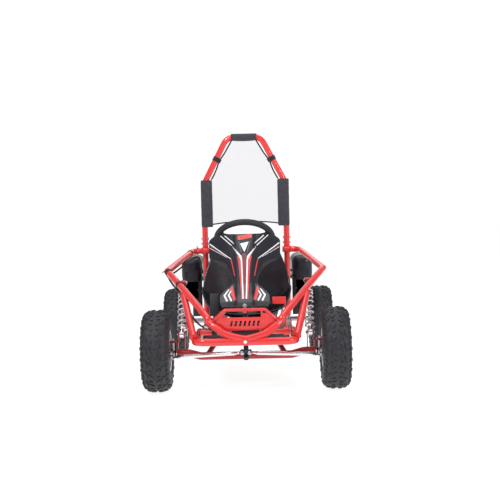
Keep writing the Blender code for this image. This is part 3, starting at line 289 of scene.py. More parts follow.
GRIP = look("grip_black", (0.019, 0.019, 0.026), 0.62, vary=0.2, patch=0.02, grain=0.0009, bump=0.35)
TYRE = look("tyre_rubber", (0.021, 0.021, 0.027), 0.60, vary=0.35, patch=0.012, grain=0.0012, bump=0.30,
            sockets={"Specular IOR Level": 0.5})
CHROME = look("chrome", (0.82, 0.82, 0.85), 0.14, 1.0, vary=0.03, grain=0.006, bump=0.008)
STEEL = look("steel", (0.42, 0.42, 0.45), 0.34, 1.0, vary=0.2, patch=0.015, grain=0.0009, bump=0.10)
ALUMINIUM = look("aluminium", (0.56, 0.57, 0.60), 0.36, 1.0, vary=0.12, patch=0.02, grain=0.0008, bump=0.12)
WHITE_PAINT = look("spring_white", (0.84, 0.84, 0.87), 0.28, vary=0.06, patch=0.01, grain=0.002, bump=0.05)
CLOTH = woven("sleeve_cloth", (0.040, 0.040, 0.052), 0.0022)
PIPING = woven("piping_black", (0.014, 0.014, 0.018), 0.0016)
MESH = woven("net_mesh", (0.26, 0.26, 0.34), 0.0030, (0.07, 0.36))
WHITE_FILM = look("stripe_white", (0.86, 0.86, 0.88), 0.30, vary=0.03, grain=0.002, bump=0.03)
RED_FILM = look("stripe_red", (0.70, 0.055, 0.060), 0.32, vary=0.08, grain=0.002, bump=0.03)
MAUVE_FILM = look("stripe_mauve", (0.23, 0.045, 0.070), 0.34, vary=0.12, grain=0.002, bump=0.03)
GREY_FILM = look("stripe_grey", (0.10, 0.10, 0.12), 0.34, vary=0.12, grain=0.002, bump=0.03)
ORANGE_FILM = look("badge_orange", (0.80, 0.10, 0.055), 0.30, vary=0.08, grain=0.002, bump=0.03)


# ---- Shape makers ----
END_CHAMFER = 0.0008
END_SCALE = 0.93  # how much smaller a swept bar's end face is than the bar
SAME_PLACE = 0.000002


def rounded(points, radius, steps=10):
    """The same route with each inner corner turned into an arc."""
    points = [Vector(point) for point in points]
    route = [points[0]]
    for before, corner, after in zip(points, points[1:], points[2:]):
        back = (before - corner).normalized()
        ahead = (after - corner).normalized()
        half = back.angle(ahead) / 2
        shorter = min((before - corner).length, (after - corner).length)
        reach = min(radius / math.tan(half), shorter * 0.49)
        real = reach * math.tan(half)
        middle = corner + (back + ahead).normalized() * (real / math.sin(half))
        start = corner + back * reach - middle
        end = corner + ahead * reach - middle
        spread = start.angle(end)
        for step in range(steps + 1):
            share = step / steps
            first = math.sin((1 - share) * spread) / math.sin(spread)
            second = math.sin(share * spread) / math.sin(spread)
            route.append(middle + start * first + end * second)
    route.append(points[-1])
    return route


def smooth_route(points, steps):
    """A curve through every point, with that many short runs between each pair."""
    points = [Vector(point) for point in points]
    route = []
    for number in range(len(points) - 1):
        before = points[max(number - 1, 0)]
        start = points[number]
        end = points[number + 1]
        after = points[min(number + 2, len(points) - 1)]
        for step in range(steps):
            t = step / steps
            bend = (2 * before - 5 * start + 4 * end - after) * t * t
            twist = (3 * start - before - 3 * end + after) * t * t * t
            route.append(0.5 * (2 * start + (end - before) * t + bend + twist))
    route.append(points[-1])
    return route


def mirrored(points, side):
    return [sided(point, side) for point in points]


def axis_turn(axis):
    return Vector(axis).to_track_quat("Z", "Y").to_matrix()


def circle(count, radius, shift=0.0):
    """Points spread round a circle, as (x, y). The first one is turned by shift, a share of a step."""
    turns = [math.tau * (number + shift) / count for number in range(count)]
    return [(radius * math.cos(turn), radius * math.sin(turn)) for turn in turns]


def sided(point, side):
    """A point given for the left-hand side, on either side."""
    return Vector((point[0] * side, point[1], point[2]))


class Shape:
    """A visible piece while it is made: swept, turned, boxed and flat forms collect in one mesh."""

    def __init__(self):
        self.mesh = bmesh.new()
        self.paint = 0

    def face(self, corners):
        if len(set(corners)) < 3:
            return
        made = self.mesh.faces.new(corners)
        made.material_index = self.paint

    def loft(self, rings, ring_closed=True, rings_closed=False, caps=True):
        """Joins rings of equally many points with four-sided faces."""
        grid = [[self.mesh.verts.new(point) for point in ring] for ring in rings]
        pairs = list(zip(grid, grid[1:]))
        if rings_closed:
            pairs.append((grid[-1], grid[0]))
        for first, second in pairs:
            count = len(first)
            for number in range(count if ring_closed else count - 1):
                after = (number + 1) % count
                self.face((first[number], first[after], second[after], second[number]))
        if caps and ring_closed and not rings_closed:
            self.face(tuple(reversed(grid[0])))
            self.face(tuple(grid[-1]))
        return self

    def sweep(self, points, radius, sides=24, cyclic=False):
        """A round bar along a route."""
        points = [Vector(point) for point in points]
        count = len(points)
        rings = []
        normal = None
        for number, point in enumerate(points):
            before = points[number - 1] if number or cyclic else point
            after = points[(number + 1) % count] if number < count - 1 or cyclic else point
            along = (after - before).normalized()
            if normal is None:
                normal = along.orthogonal().normalized()
            normal = (normal - along * normal.dot(along)).normalized()
            other = along.cross(normal)
            rings.append([point + normal * x + other * y for x, y in circle(sides, radius)])
        if not cyclic:
            for end, inward in ((0, 1), (-1, -2)):
                centre = points[end]
                step_in = (points[inward] - centre).normalized() * END_CHAMFER
                small = [centre + (place - centre) * END_SCALE for place in rings[end]]
                rings[end] = [place + step_in for place in rings[end]]
                if end == 0:
                    rings.insert(0, small)
                else:
                    rings.append(small)
        return self.loft(rings, rings_closed=cyclic)

    def lathe(self, profile, centre, axis, steps=48, closed=False):
        """Turns a profile of (radius, height) round an axis."""
        turn = axis_turn(axis)
        centre = Vector(centre)
        rings = [
            [centre + turn @ Vector((radius * x, radius * y, height)) for radius, height in profile]
            for x, y in circle(steps, 1)
        ]
        return self.loft(rings, ring_closed=closed, rings_closed=True)

    def collar(self, inner, outer, ends, centre, axis, edge=0.0, steps=36):
        """A ring round an axis, between two heights along it, with its outer corners cut off by edge."""
        low, high = ends
        outside = [(outer, low), (outer, high)]
        if edge:
            outside = [(outer - edge, low), (outer, low + edge), (outer, high - edge), (outer - edge, high)]
        return self.lathe([(inner, low), *outside, (inner, high)], centre, axis, steps, True)

    def tie(self, inner, outer, wide, edge, centre, axis, steps=36):
        """A strap round a bar, narrower by edge at each side of its outer face."""
        half = wide / 2
        section = [(inner, -half), (outer, edge - half), (outer, half - edge), (inner, half)]
        return self.lathe(section, centre, axis, steps, True)

    def rod(self, start, end, radius, sides=28, chamfer=END_CHAMFER):
        start = Vector(start)
        along = Vector(end) - start
        long = along.length
        small = min(chamfer, radius * 0.3, long * 0.3)
        side = [(radius - small, 0), (radius, small), (radius, long - small), (radius - small, long)]
        return self.lathe([(0, 0), *side, (0, long)], start, along, sides)

    def hexagon(self, start, end, radius):
        return self.rod(start, end, radius, 6, radius * 0.12)

    def bolt(self, place, axis, radius=0.006, high=0.005):
        """A domed hexagon head on a washer."""
        out = Vector(axis).normalized()
        place = Vector(place)
        self.rod(place - out * 0.001, place + out * 0.0012, radius * 1.45, 24, 0.0003)
        self.hexagon(place + out * 0.001, place + out * high, radius)
        dome = place + out * (high - 0.001)
        return self.rod(dome, place + out * (high + 0.0008), radius * 0.62, 20, 0.0006)

    def weld(self, centre, axis, radius, bead=0.0026):
        """A rippled bead round a bar."""
        turn = axis_turn(axis)
        steps = 72
        rings = []
        for step in range(steps):
            angle = math.tau * step / steps
            out = turn @ Vector((math.cos(angle), math.sin(angle), 0))
            size = bead * (1 + 0.16 * math.sin(18 * angle))
            middle = Vector(centre) + out * radius
            lift = turn @ Vector((0, 0, 1))
            rings.append([middle + out * x + lift * (1.2 * y) for x, y in circle(8, size)])
        return self.loft(rings, rings_closed=True)

    def add(self, mesh, matrix=None):
        """Takes in a ready mesh, in this shape's present paint."""
        if matrix:
            mesh.transform(matrix)
        first = len(self.mesh.faces)
        self.mesh.from_mesh(mesh)
        self.mesh.faces.ensure_lookup_table()
        for number in range(first, len(self.mesh.faces)):
            self.mesh.faces[number].material_index = self.paint
        bpy.data.meshes.remove(mesh)
        return self

    def box(self, low, high, bevel=0.0012, turn=None, about=(0, 0, 0), segments=3):
        low = Vector(low)
        high = Vector(high)
        small = bmesh.new()
        bmesh.ops.create_cube(small, size=1)
        bmesh.ops.scale(small, vec=high - low, verts=small.verts)
        bmesh.ops.translate(small, vec=(low + high) / 2, verts=small.verts)
        reach = min(bevel, min(high - low) * 0.4)
        bmesh.ops.bevel(
            small, geom=small.edges[:], offset=reach, segments=segments, profile=0.5, affect="EDGES"
        )
        if turn:
            bmesh.ops.rotate(small, cent=about, matrix=turn, verts=small.verts)
        mesh = bpy.data.meshes.new("box")
        small.to_mesh(mesh)
        small.free()
        return self.add(mesh)

    def plate(self, outlines, thickness, matrix, bevel=0.0006):
        """A flat piece: its outline, then those of its holes, across the matrix's Z axis."""
        line = bpy.data.curves.new("plate", "CURVE")
        line.dimensions = "2D"
        line.fill_mode = "BOTH"
        line.extrude = thickness / 2 - bevel
        line.bevel_depth = bevel
        line.bevel_resolution = 1
        line.offset = -bevel
        for outline in outlines:
            spline = line.splines.new("POLY")
            spline.points.add(len(outline) - 1)
            for point, (x, y) in zip(spline.points, outline):
                point.co = (x, y, 0, 1)
            spline.use_cyclic_u = True
        drawn = bpy.data.objects.new("plate", line)
        bpy.context.scene.collection.objects.link(drawn)
        bpy.context.view_layer.update()
        mesh = bpy.data.meshes.new_from_object(drawn.evaluated_get(bpy.context.evaluated_depsgraph_get()))
        bpy.data.objects.remove(drawn, do_unlink=True)
        bpy.data.curves.remove(line)
        return self.add(mesh, matrix)

    def done(self, name, paints, node, sharp=32, slot=None, hide=True):
        """Makes the piece, which rides with its CAD node and, unless hide is False, stands for it."""
        bmesh.ops.remove_doubles(self.mesh, verts=self.mesh.verts, dist=SAME_PLACE)
        bmesh.ops.recalc_face_normals(self.mesh, faces=self.mesh.faces)
        mesh = bpy.data.meshes.new(name)
        self.mesh.to_mesh(mesh)
        self.mesh.free()
        for material in paints:
            mesh.materials.append(material)
        mesh.shade_smooth()
        mesh.set_sharp_from_angle(angle=math.radians(sharp))
        made = bpy.data.objects.new(name, mesh)
        bpy.context.scene.collection.objects.link(made)
        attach(made, BODY[node])
        if hide:
            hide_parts(node)
        return made


# ---- Frame ----
def side_bar_route(side):
    bend = rounded([*SIDE_BAR_START, SIDE_BAR_ELBOW], 0.055)
    lower = smooth_route([SIDE_BAR_ELBOW, *SIDE_BAR_END], 6)
    return mirrored([*bend[:-1], *lower, (0.0, -0.7045, 0.2385)], side)


def bumper_route():
    corners = [(-RAIL_X, -0.620), (-RAIL_X, -0.703), (RAIL_X, -0.703), (RAIL_X, -0.620)]
    return rounded([(x, y, BUMPER_Z) for x, y in corners], 0.045)


def hoop_route():
    corners = [(HOOP_X, HOOP_JOINT_Z), (HOOP_X, HOOP_BEND_Z), (HOOP_TOP_HALF, HOOP_TOP_Z)]
    half = [(x, HOOP_Y, z) for x, z in corners]
    return rounded(half + mirrored(half, -1)[::-1], 0.060, 14)


def build_bumper():
    bar = Shape().sweep(bumper_route(), BUMPER_TUBE, 32)
    plug_z = 0.2295
    bar.box((-0.011, -BUMPER_FRONT + 0.0008, 0.216), (0.011, -0.7130, 0.243), 0.002)
    bar.paint = 1
    for side in (1, -1):
        bar.weld((RAIL_X * side, -0.6195, BUMPER_Z), (0, 1, 0), FRAME_TUBE)
    bar.paint = 2
    bar.rod((0, -0.714, plug_z), (0, -BUMPER_FRONT, plug_z), 0.0078, 28, 0.002)
    bar.done("bumper_tube", (RED, WELD_RED, CHROME), "front_bumper")


def build_rails():
    for word, side in SIDES:
        ahead = [(RAIL_X, -0.620, BUMPER_Z), (RAIL_X, -0.360, BUMPER_Z)]
        route = [*ahead, (HOOP_X, -0.285, RAIL_Z), (HOOP_X, 0.2057, RAIL_Z)]
        rail = Shape().sweep(mirrored(rounded(route, 0.06), side), FRAME_TUBE, 28)
        rail.paint = 1
        rail.weld((HOOP_X * side, 0.205, RAIL_Z), (0, 1, 0), FRAME_TUBE)
        rail.done(f"rail_tube_{word}", (RED, WELD_RED), f"lower_rail_{word}")


def build_uprights():
    for word, side in SIDES:
        low, high = mirrored([(0.2015, -0.682, 0.2432), (0.2545, -0.4656, 0.3945)], side)
        bar = Shape().sweep([low, high], FRAME_TUBE, 28)
        bar.paint = 1
        bar.weld(low + (high - low) * 0.012, high - low, FRAME_TUBE)
        bar.weld(high - (high - low) * 0.012, high - low, FRAME_TUBE)
        bar.paint = 2
        place = low + (high - low) * 0.90 + Vector((-0.010 * side, -0.010, -0.004))
        bar.bolt(place, (-0.6 * side, -0.8, 0), 0.0050, 0.004)
        bar.done(f"upright_tube_{word}", (RED, WELD_RED, STEEL), f"upright_{word}")


def build_side_bars():
    for word, side in SIDES:
        bar = Shape().sweep(side_bar_route(side), FRAME_TUBE, 32)
        outer = SHOCK_X + 0.0255
        bar.box((outer * side - 0.0025, -0.392, 0.4240), (outer * side + 0.0025, -0.331, 0.4470), 0.0015)
        start = (SIDE_BAR_Y, SIDE_BAR_Z)
        pin = FRONT_SHOCK_HIGH.yz
        bar.paint = 1
        for x in (0.1830, 0.2110):
            bar.weld((x * side, *start), (1, 0, 0), FRAME_TUBE, 0.0022)
        bar.paint = 2
        bar.rod((0.1745 * side, *start), (0.1775 * side, *start), 0.0125)
        bar.paint = 3
        bar.rod(((outer - 0.001) * side, *pin), ((SHOCK_X - 0.014) * side, *pin), 0.005)
        bar.bolt(((SHOCK_X - 0.0125) * side, *pin), (-side, 0, 0), 0.0065, 0.0045)
        bar.bolt(((outer + 0.0025) * side, *pin), (side, 0, 0), 0.0065, 0.0055)
        bar.done(f"side_bar_tube_{word}", (RED, WELD_RED, MATT, STEEL), f"side_bar_{word}")


def build_cross_tubes():
    reach = HOOP_X - FRAME_TUBE
    bar = Shape().rod((-reach, *FRONT_PIVOT.yz), (reach, *FRONT_PIVOT.yz), 0.012)
    bar.paint = 1
    for side in (1, -1):
        bar.weld(((reach - 0.001) * side, *FRONT_PIVOT.yz), (1, 0, 0), 0.012)
    bar.done("suspension_tube", (RED, WELD_RED), "suspension_cross_tube")

    reach = 0.186
    bar = Shape().rod((-reach, *PEDAL_AXIS.yz), (reach, *PEDAL_AXIS.yz), 0.010)
    middle = WHEEL_HUB - COLUMN_UP * 0.498
    bar.collar(*COLUMN_BEARING, middle, COLUMN_UP)
    bar.rod((0, PEDAL_AXIS.y + 0.004, PEDAL_AXIS.z - 0.002), middle - Vector((0, 0.012, -0.009)), 0.008)
    bar.paint = 1
    for side in (1, -1):
        bar.weld(((reach - 0.002) * side, *PEDAL_AXIS.yz), (1, 0, 0), 0.010, 0.002)
    bar.done("pedal_tube", (RED, WELD_RED), "pedal_cross_tube")


# One slanting slot of the row in the front bracket, from its lower left corner.
VENT = [(0, 0.285), (0.008, 0.285), (0.013, 0.305), (0.005, 0.305)]


def build_front_bracket():
    y = -0.666
    loop = [(0.131, -0.670, 0.303), (0.080, y, 0.3485), (-0.080, y, 0.3485), (-0.131, -0.670, 0.303)]
    bracket = Shape().sweep(rounded(loop, 0.012, 6), 0.0060, 24)
    face = Matrix.Translation((0, y, 0)) @ Matrix.Rotation(math.radians(90), 4, "X")
    half = [(0.078, 0.3475), (0.118, 0.309), (0.110, 0.2885), (0.092, 0.2680)]
    outline = half + [(-x, z) for x, z in reversed(half)]
    slot = [(-0.0920, 0.3195), (-0.0700, 0.3450), (0.0625, 0.3450), (0.0625, 0.3195)]
    corner = [(0.0690, 0.3340), (0.0690, 0.3450), (0.0740, 0.3450), (0.0860, 0.3340)]
    vents = []
    for number in range(7):
        left = -0.060 + number * 0.0175
        vents.append([(left + x, z) for x, z in VENT])
    bracket.plate([outline, slot, corner, *vents], 0.0035, face)
    middle = WHEEL_HUB - COLUMN_UP * 0.200
    bracket.rod((0, -0.659, 0.341), middle - Vector((0, 0.014, 0.003)), 0.009)
    bracket.collar(*COLUMN_BEARING, middle, COLUMN_UP)
    bracket.paint = 1
    for side in (1, -1):
        bracket.weld((0.1225 * side, -0.6695, 0.3105), (0.75 * side, 0, -0.66), 0.0078, 0.0018)
    bracket.done("front_plate", (RED, WELD_RED), "front_bracket")
    guard = Shape().box((-0.0720, -0.6050, 0.2395), (0.0720, -0.6020, 0.2700), 0.0012)
    guard.paint = 1
    for x in (-0.062, 0.062):
        guard.bolt((x, -0.6050, 0.2550), (0, -1, 0), 0.0045, 0.0035)
    guard.done("column_guard", (BLACK_METAL, STEEL), "front_bracket", hide=False, slot="matt_black")


def build_rear_frame():
    leg = [(HOOP_X, HOOP_Y, HOOP_JOINT_Z), (HOOP_X, HOOP_Y, RAIL_Z)]
    rear = Shape().sweep(rounded(leg + mirrored(leg, -1)[::-1], 0.045), FRAME_TUBE, 32)
    rear.rod((-HOOP_X, HOOP_Y, CROSS_BAR_Z), (HOOP_X, HOOP_Y, CROSS_BAR_Z), 0.0125)
    for side in (1, -1):
        x = 0.125 * side
        rear.box((x - 0.003, 0.222, 0.176), (x + 0.003, 0.276, 0.204))
        x = 0.0155 * side
        rear.box((x - 0.0025, 0.222, 0.418), (x + 0.0025, 0.268, 0.443))
    rear.paint = 1
    for side in (1, -1):
        rear.weld(((HOOP_X - 0.0132) * side, HOOP_Y, CROSS_BAR_Z), (1, 0, 0), 0.0125)
        rear.weld((HOOP_X * side, HOOP_Y, HOOP_JOINT_Z - 0.0008), (0, 0, 1), FRAME_TUBE - 0.0012, 0.0016)
    rear.paint = 2
    rear.rod((-0.129, *REAR_PIVOT.yz), (0.129, *REAR_PIVOT.yz), 0.008)
    for side in (1, -1):
        rear.hexagon((0.128 * side, *REAR_PIVOT.yz), (0.1345 * side, *REAR_PIVOT.yz), 0.011)
    rear.rod((-0.018, *REAR_SHOCK_HIGH.yz), (0.018, *REAR_SHOCK_HIGH.yz), 0.005)
    rear.done("rear_tubes", (RED, WELD_RED, STEEL), "rear_frame")

    back = BUMPER_FRONT - 0.012
    start = HOOP_Y + FRAME_TUBE
    leg = [(HOOP_X, start, CRASH_BAR_Z), (HOOP_X, back, CRASH_BAR_Z)]
    bar = Shape().sweep(rounded(leg + mirrored(leg, -1)[::-1], 0.060, 14), 0.012, 28)
    bar.paint = 1
    for side in (1, -1):
        bar.weld((HOOP_X * side, start, CRASH_BAR_Z), (0, 1, 0), 0.012)
    bar.done("rear_crash_tube", (RED, WELD_RED), "rear_crash_bar")


def build_hoop():
    hoop = Shape().sweep(hoop_route(), FRAME_TUBE, 32)
    hoop.paint = 1
    for side in (1, -1):
        for z in (0.600, 0.576):
            for out in (1, -1):
                hoop.bolt(((HOOP_X + 0.0135 * out) * side, HOOP_Y, z), (side * out, 0, 0), 0.0052, 0.0050)
    hoop.done("hoop_tube", (RED, CHROME), "roll_hoop")


# ---- Safety net ----
# The net's left edge as (half width, height), and how far up the sloping tube its strap is.
NET_HALF = [(0.163, 0.668), (0.163, 0.880), (0.122, 0.9715), (0.094, 1.010), (0.058, 1.072)]
STRAP_SHARE = 0.53


def net_edge(height):
    """Half the net's width at a height: its sides are slack between the places that hold them."""
    for (x_low, z_low), (x_high, z_high) in zip(NET_HALF, NET_HALF[1:]):
        if height <= z_high:
            share = (height - z_low) / (z_high - z_low)
            slack = 0.0040 if 0.8 < z_low < 0.9 else 0.0
            return x_low + (x_high - x_low) * share - slack * math.sin(math.pi * share)
    return NET_HALF[-1][0]


def net_row(share, columns):
    """A level row of the net, whose lower edge rises in the middle and whose top edge dips a little."""
    row = []
    z_level = NET_HALF[0][1] + (NET_HALF[-1][1] - NET_HALF[0][1]) * share
    half = net_edge(z_level)
    for column in range(columns + 1):
        across = 2 * column / columns - 1
        rise = 0.012 * (1 - across * across) * (1 - share) ** 3
        dip = 0.003 * (1 - across * across) * share**3
        wave = 0.0012 * noise.noise(Vector((across * 3, share * 4, 0.5)))
        row.append(Vector((across * half, HOOP_Y + wave, z_level + rise - dip)))
    return row


def sleeve_shape(start, end, inward, wide, thick, seed):
    """A padded sleeve round a bar: a rounded oblong, longer towards the net, with soft creases and hems."""
    start = Vector(start)
    end = Vector(end)
    along = (end - start).normalized()
    inward = Vector(inward)
    depth = along.cross(inward)
    rings = []
    steps = 44
    for step in range(steps + 1):
        share = step / steps
        edge = min(share, 1 - share)
        grow = 0.93 + 0.07 * min(1.0, edge / 0.02)
        ring = []
        for corner in range(40):
            angle = math.tau * corner / 40
            first = math.copysign(abs(math.cos(angle)) ** 0.62, math.cos(angle))
            second = math.copysign(abs(math.sin(angle)) ** 0.70, math.sin(angle))
            crease = 1 + 0.030 * noise.noise(Vector((first * 1.5 + seed, second * 2, share * 9)))
            hem = 0.97 if abs(edge - 0.035) < 0.008 else 1.0
            out = inward * (first * wide / 2) + depth * (second * thick / 2)
            ring.append(start + (end - start) * share + out * (grow * crease * hem * 0.965))
        rings.append(ring)
    return Shape().loft(rings)


def build_net():
    rows = [net_row(row / 60, 48) for row in range(61)]
    cloth = Shape().loft(rows, ring_closed=False, caps=False).done("net_sheet", (MESH,), "safety_net")
    for word, side in SIDES:
        x = 0.1852 * side
        ends = ((x, HOOP_Y, 0.656), (x, HOOP_Y, 0.882))
        sleeve = sleeve_shape(*ends, (-side, 0, 0), 0.0575, 0.034, side)
        made = sleeve.done(f"pole_sleeve_{word}", (CLOTH,), "safety_net", hide=False)
        foot = Vector((HOOP_X * side, HOOP_Y, HOOP_BEND_Z))
        head = Vector((HOOP_TOP_HALF * side, HOOP_Y, HOOP_TOP_Z))
        middle = foot.lerp(head, STRAP_SHARE)
        slant = (head - foot).normalized()
        strap = Shape()
        strap.tie(FRAME_TUBE + 0.0006, FRAME_TUBE + 0.0024, 0.022, 0.0005, middle, slant, 40)
        flat = axis_turn(slant) @ Vector((0, 0, 1))
        inner = Vector((-slant.z * side, 0, slant.x * side)).normalized()
        inner = inner if inner.x * side < 0 else -inner
        low = middle + inner * 0.014
        section = [(-0.009, -0.0016), (0.009, -0.0016), (0.009, 0.0016), (-0.009, 0.0016)]
        around = [flat * width + Vector((0, deep, 0)) for width, deep in section]
        strap.loft([[low + inner * reach + corner for corner in around] for reach in (0.0, 0.005, 0.011)])
        strap.done(f"net_strap_{word}", (PIPING,), "safety_net", hide=False)
    low_middle = HOOP_TOP_Z - 0.0012
    left, right = (sided((0.0615, HOOP_Y, low_middle), side) for side in (1, -1))
    top = sleeve_shape(right, left, (0, 0, 1), 0.0345, 0.033, 7)
    top.done("top_sleeve", (CLOTH,), "safety_net", hide=False)
    edge = Shape()
    border = [net_row(number / 60, 1)[1] for number in range(61)]
    upper = [point for point in border if point.z > NET_HALF[1][1]]
    for side in (1, -1):
        edge.sweep(mirrored(upper, side), 0.0036, 10)
    edge.sweep(net_row(0, 30), 0.0032, 10)
    edge.sweep([point + Vector((0, 0, -0.001)) for point in net_row(1, 20)], 0.0020, 10)
    edge.done("net_piping", (PIPING,), "safety_net", hide=False)
    area = 0.0
    for lower, upper_row in zip(rows, rows[1:]):
        widths = lower[-1].x - lower[0].x + upper_row[-1].x - upper_row[0].x
        area += (upper_row[0] - lower[0]).z * widths / 2
    wide = 2 * NET_HALF[0][0]
    tall = NET_HALF[-1][1] - NET_HALF[0][1]
    area = min(area, wide * tall)


# ---- Wheels ----
CARCASS_HALF = 0.0578
CROWN_MID = 0.110
CROWN_HIGH = 0.0548
LUG = 0.0042
LUG_ROWS = 20


def carcass(angle):
    """The tyre's skin without lugs: (radius, height across, normal) at an angle from the tread's middle."""
    sine = math.sin(angle)
    cosine = max(math.cos(angle), 0.0)
    height = CARCASS_HALF * math.copysign(abs(sine) ** (2 / 3), sine)
    rise = CROWN_HIGH * cosine ** (2 / 3)
    normal = Vector((rise**2 / CROWN_HIGH**3, math.copysign(height**2, height) / CARCASS_HALF**3))
    return CROWN_MID + rise, height, normal.normalized()


def tyre_profile():
    bead = [(0.0772, 0.0440), (0.0800, 0.0490), (0.0850, 0.0520), (0.0900, 0.0535)]
    wall = [(0.0925, 0.0550), (0.0955, 0.0550), (0.0970, 0.0560), (0.1030, 0.0572), (0.1080, CARCASS_HALF)]
    side = bead + wall
    crown = [carcass(math.radians(90 - step * 5))[:2] for step in range(1, 36)]
    return side + crown + [(radius, -height) for radius, height in reversed(side)]


def lug(shape, matrix, corners, lift):
    """A tread block with corners at (angle across, angle round), smaller at the top than on the carcass."""
    across = sum(corner[0] for corner in corners) / len(corners)
    round_ = sum(corner[1] for corner in corners) / len(corners)
    rings = []
    for raise_by, scale in ((-0.001, 1.0), (lift * 0.88, 0.90), (lift, 0.80)):
        ring = []
        for one, other in corners:
            radius, height, normal = carcass(math.radians(across + (one - across) * scale))
            angle = math.radians(round_ + (other - round_) * scale)
            radius += normal.x * raise_by
            height += normal.y * raise_by
            ring.append(matrix @ Vector((radius * math.cos(angle), radius * math.sin(angle), height)))
        rings.append(ring)
    shape.loft(rings)


def build_tyre(words, place, side):
    turn = axis_turn((side, 0, 0)).to_4x4()
    matrix = Matrix.Translation(place) @ turn
    tyre = Shape().lathe(tyre_profile(), place, (side, 0, 0), 96)
    pitch = 360 / LUG_ROWS
    for row in range(LUG_ROWS):
        for hand in (1, -1):
            start = row * pitch + (pitch / 2 if hand < 0 else 0)
            centre = [(1.5, 0), (12, 2.6), (14, 10.5), (8, 9.4), (7, 7.0), (1.5, 6.0)]
            middle = [(17, 3.0), (33, 6.4), (38, 13.6), (29, 15.0), (19, 9.8)]
            wedge = [(4, 11.0), (14, 13.2), (15, 16.4), (4, 14.6)]
            for block in (centre, middle, wedge):
                lug(tyre, matrix, [(one * hand, start + other) for one, other in block], LUG)
            for half in (0, 1):
                first = start + half * pitch / 2 + 1.5
                outer = 68 if half else 60
                knob = [(43, first), (outer, first - 0.8), (outer, first + 4.6), (43, first + 5.4)]
                lug(tyre, matrix, [(one * hand, other) for one, other in knob], LUG * 0.9)
    tyre.done(f"knobby_tyre_{words}", (TYRE,), f"tyre_{words}", sharp=40)


def build_rim(words, place, side, bore, hub):
    axis = Vector((side, 0, 0))
    rim = Shape()
    lip = [(0.0764, 0.0440), (0.0775, 0.0470), (0.0852, 0.0500), (0.0850, 0.0518), (0.0725, 0.0500)]
    inner, outer = hub
    front = [(0.0700, 0.0400), (0.0660, 0.0180), (0.0560, 0.0125), (0.0360, 0.0165), (0.0240, 0.0170)]
    front += [(0.0240, outer - 0.001), (0.0225, outer), (bore + 0.001, outer), (bore, outer - 0.001)]
    back = [(bore, -inner), (0.0230, -inner), (0.0240, -inner + 0.001), (0.0240, 0.0060)]
    back += [(0.0560, 0.0085), (0.0690, 0.0080), (0.0715, -0.0300)]
    barrel = [(radius, -height) for radius, height in reversed(lip)] + lip + front + back
    rim.lathe(barrel, place, axis, 72, True)
    rim.paint = 1
    for y, z in circle(4, 0.0310, 0.5):
        rim.bolt(place + Vector((0.0160 * side, y, z)), axis, 0.0060, 0.0060)
    rim.paint = 2
    for y, z in circle(8, 0.0480):
        spot = place + Vector((0.0140 * side, y, z))
        rim.rod(spot - axis * 0.002, spot + axis * 0.0012, 0.0068, 24, 0.0004)
    valve = place + Vector((0.0480 * side, 0, 0.0690))
    rim.sweep([valve - axis * 0.012, valve - axis * 0.004, valve + axis * 0.004], 0.0026, 12)
    rim.done(f"wheel_rim_{words}", (ALUMINIUM, STEEL, MATT), f"rim_{words}")


def build_wheels():
    for word, side in SIDES:
        for end, half_track, y, bore, hub in (
            ("front", FRONT_HALF_TRACK, FRONT_Y, 0.0084, (0.030, 0.0350)),
            ("rear", REAR_HALF_TRACK, REAR_Y, 0.0125, (0.040, 0.0400)),
        ):
            place = Vector((half_track * side, y, TYRE_RADIUS))
            build_tyre(f"{end}_{word}", place, side)
            build_rim(f"{end}_{word}", place, side, bore, hub)


# ---- Body panels ----
FAIRING_KEYS = [
    # ridge z, ridge y, ridge half width, edge x, edge y, edge z
    (0.637, -0.372, 0.0400, 0.128, -0.300, 0.6285),
    (0.611, -0.398, 0.0390, 0.153, -0.300, 0.6080),
    (0.531, -0.468, 0.0365, 0.150, -0.365, 0.5310),
    (0.507, -0.489, 0.0355, 0.087, -0.420, 0.5070),
    (0.468, -0.522, 0.0340, 0.057, -0.480, 0.4680),
    (0.442, -0.543, 0.0330, 0.051, -0.512, 0.4420),
    (0.399, -0.592, 0.0315, 0.099, -0.580, 0.3990),
    (0.3726, -0.640, 0.0300, 0.098, -0.632, 0.3726),
    (0.3570, -0.6555, 0.0300, 0.090, -0.6500, 0.3570),
]
PANEL_WALL = 0.003
FOOT_BAND_TOP = 0.3765


def fairing_half(key):
    """A row of the fairing from its middle to its left edge: a raised ridge, a valley, a swelling wing."""
    z, y, half, edge_x, edge_y, edge_z = key
    valley = Vector((half + 0.009, y + 0.018, z))
    edge = Vector((edge_x, edge_y, edge_z))
    row = []
    for share in (0, 0.25, 0.5, 0.75):
        row.append(Vector((half * share, y - 0.004 * (1 - share * share), z)))
    row += [Vector((half - 0.0012, y, z)), Vector((half + 0.0022, y + 0.003, z))]
    row += [valley + Vector((-0.001, -0.002, 0)), valley]
    wide = (edge - valley).length
    swell = min(0.010, 0.10 * wide)
    for step in range(1, 13):
        share = step / 12
        bulge = swell * math.sin(math.pi * share) * (1 - 0.3 * share)
        row.append(valley.lerp(edge, share) + Vector((0, -bulge, 0.3 * bulge)))
    return row


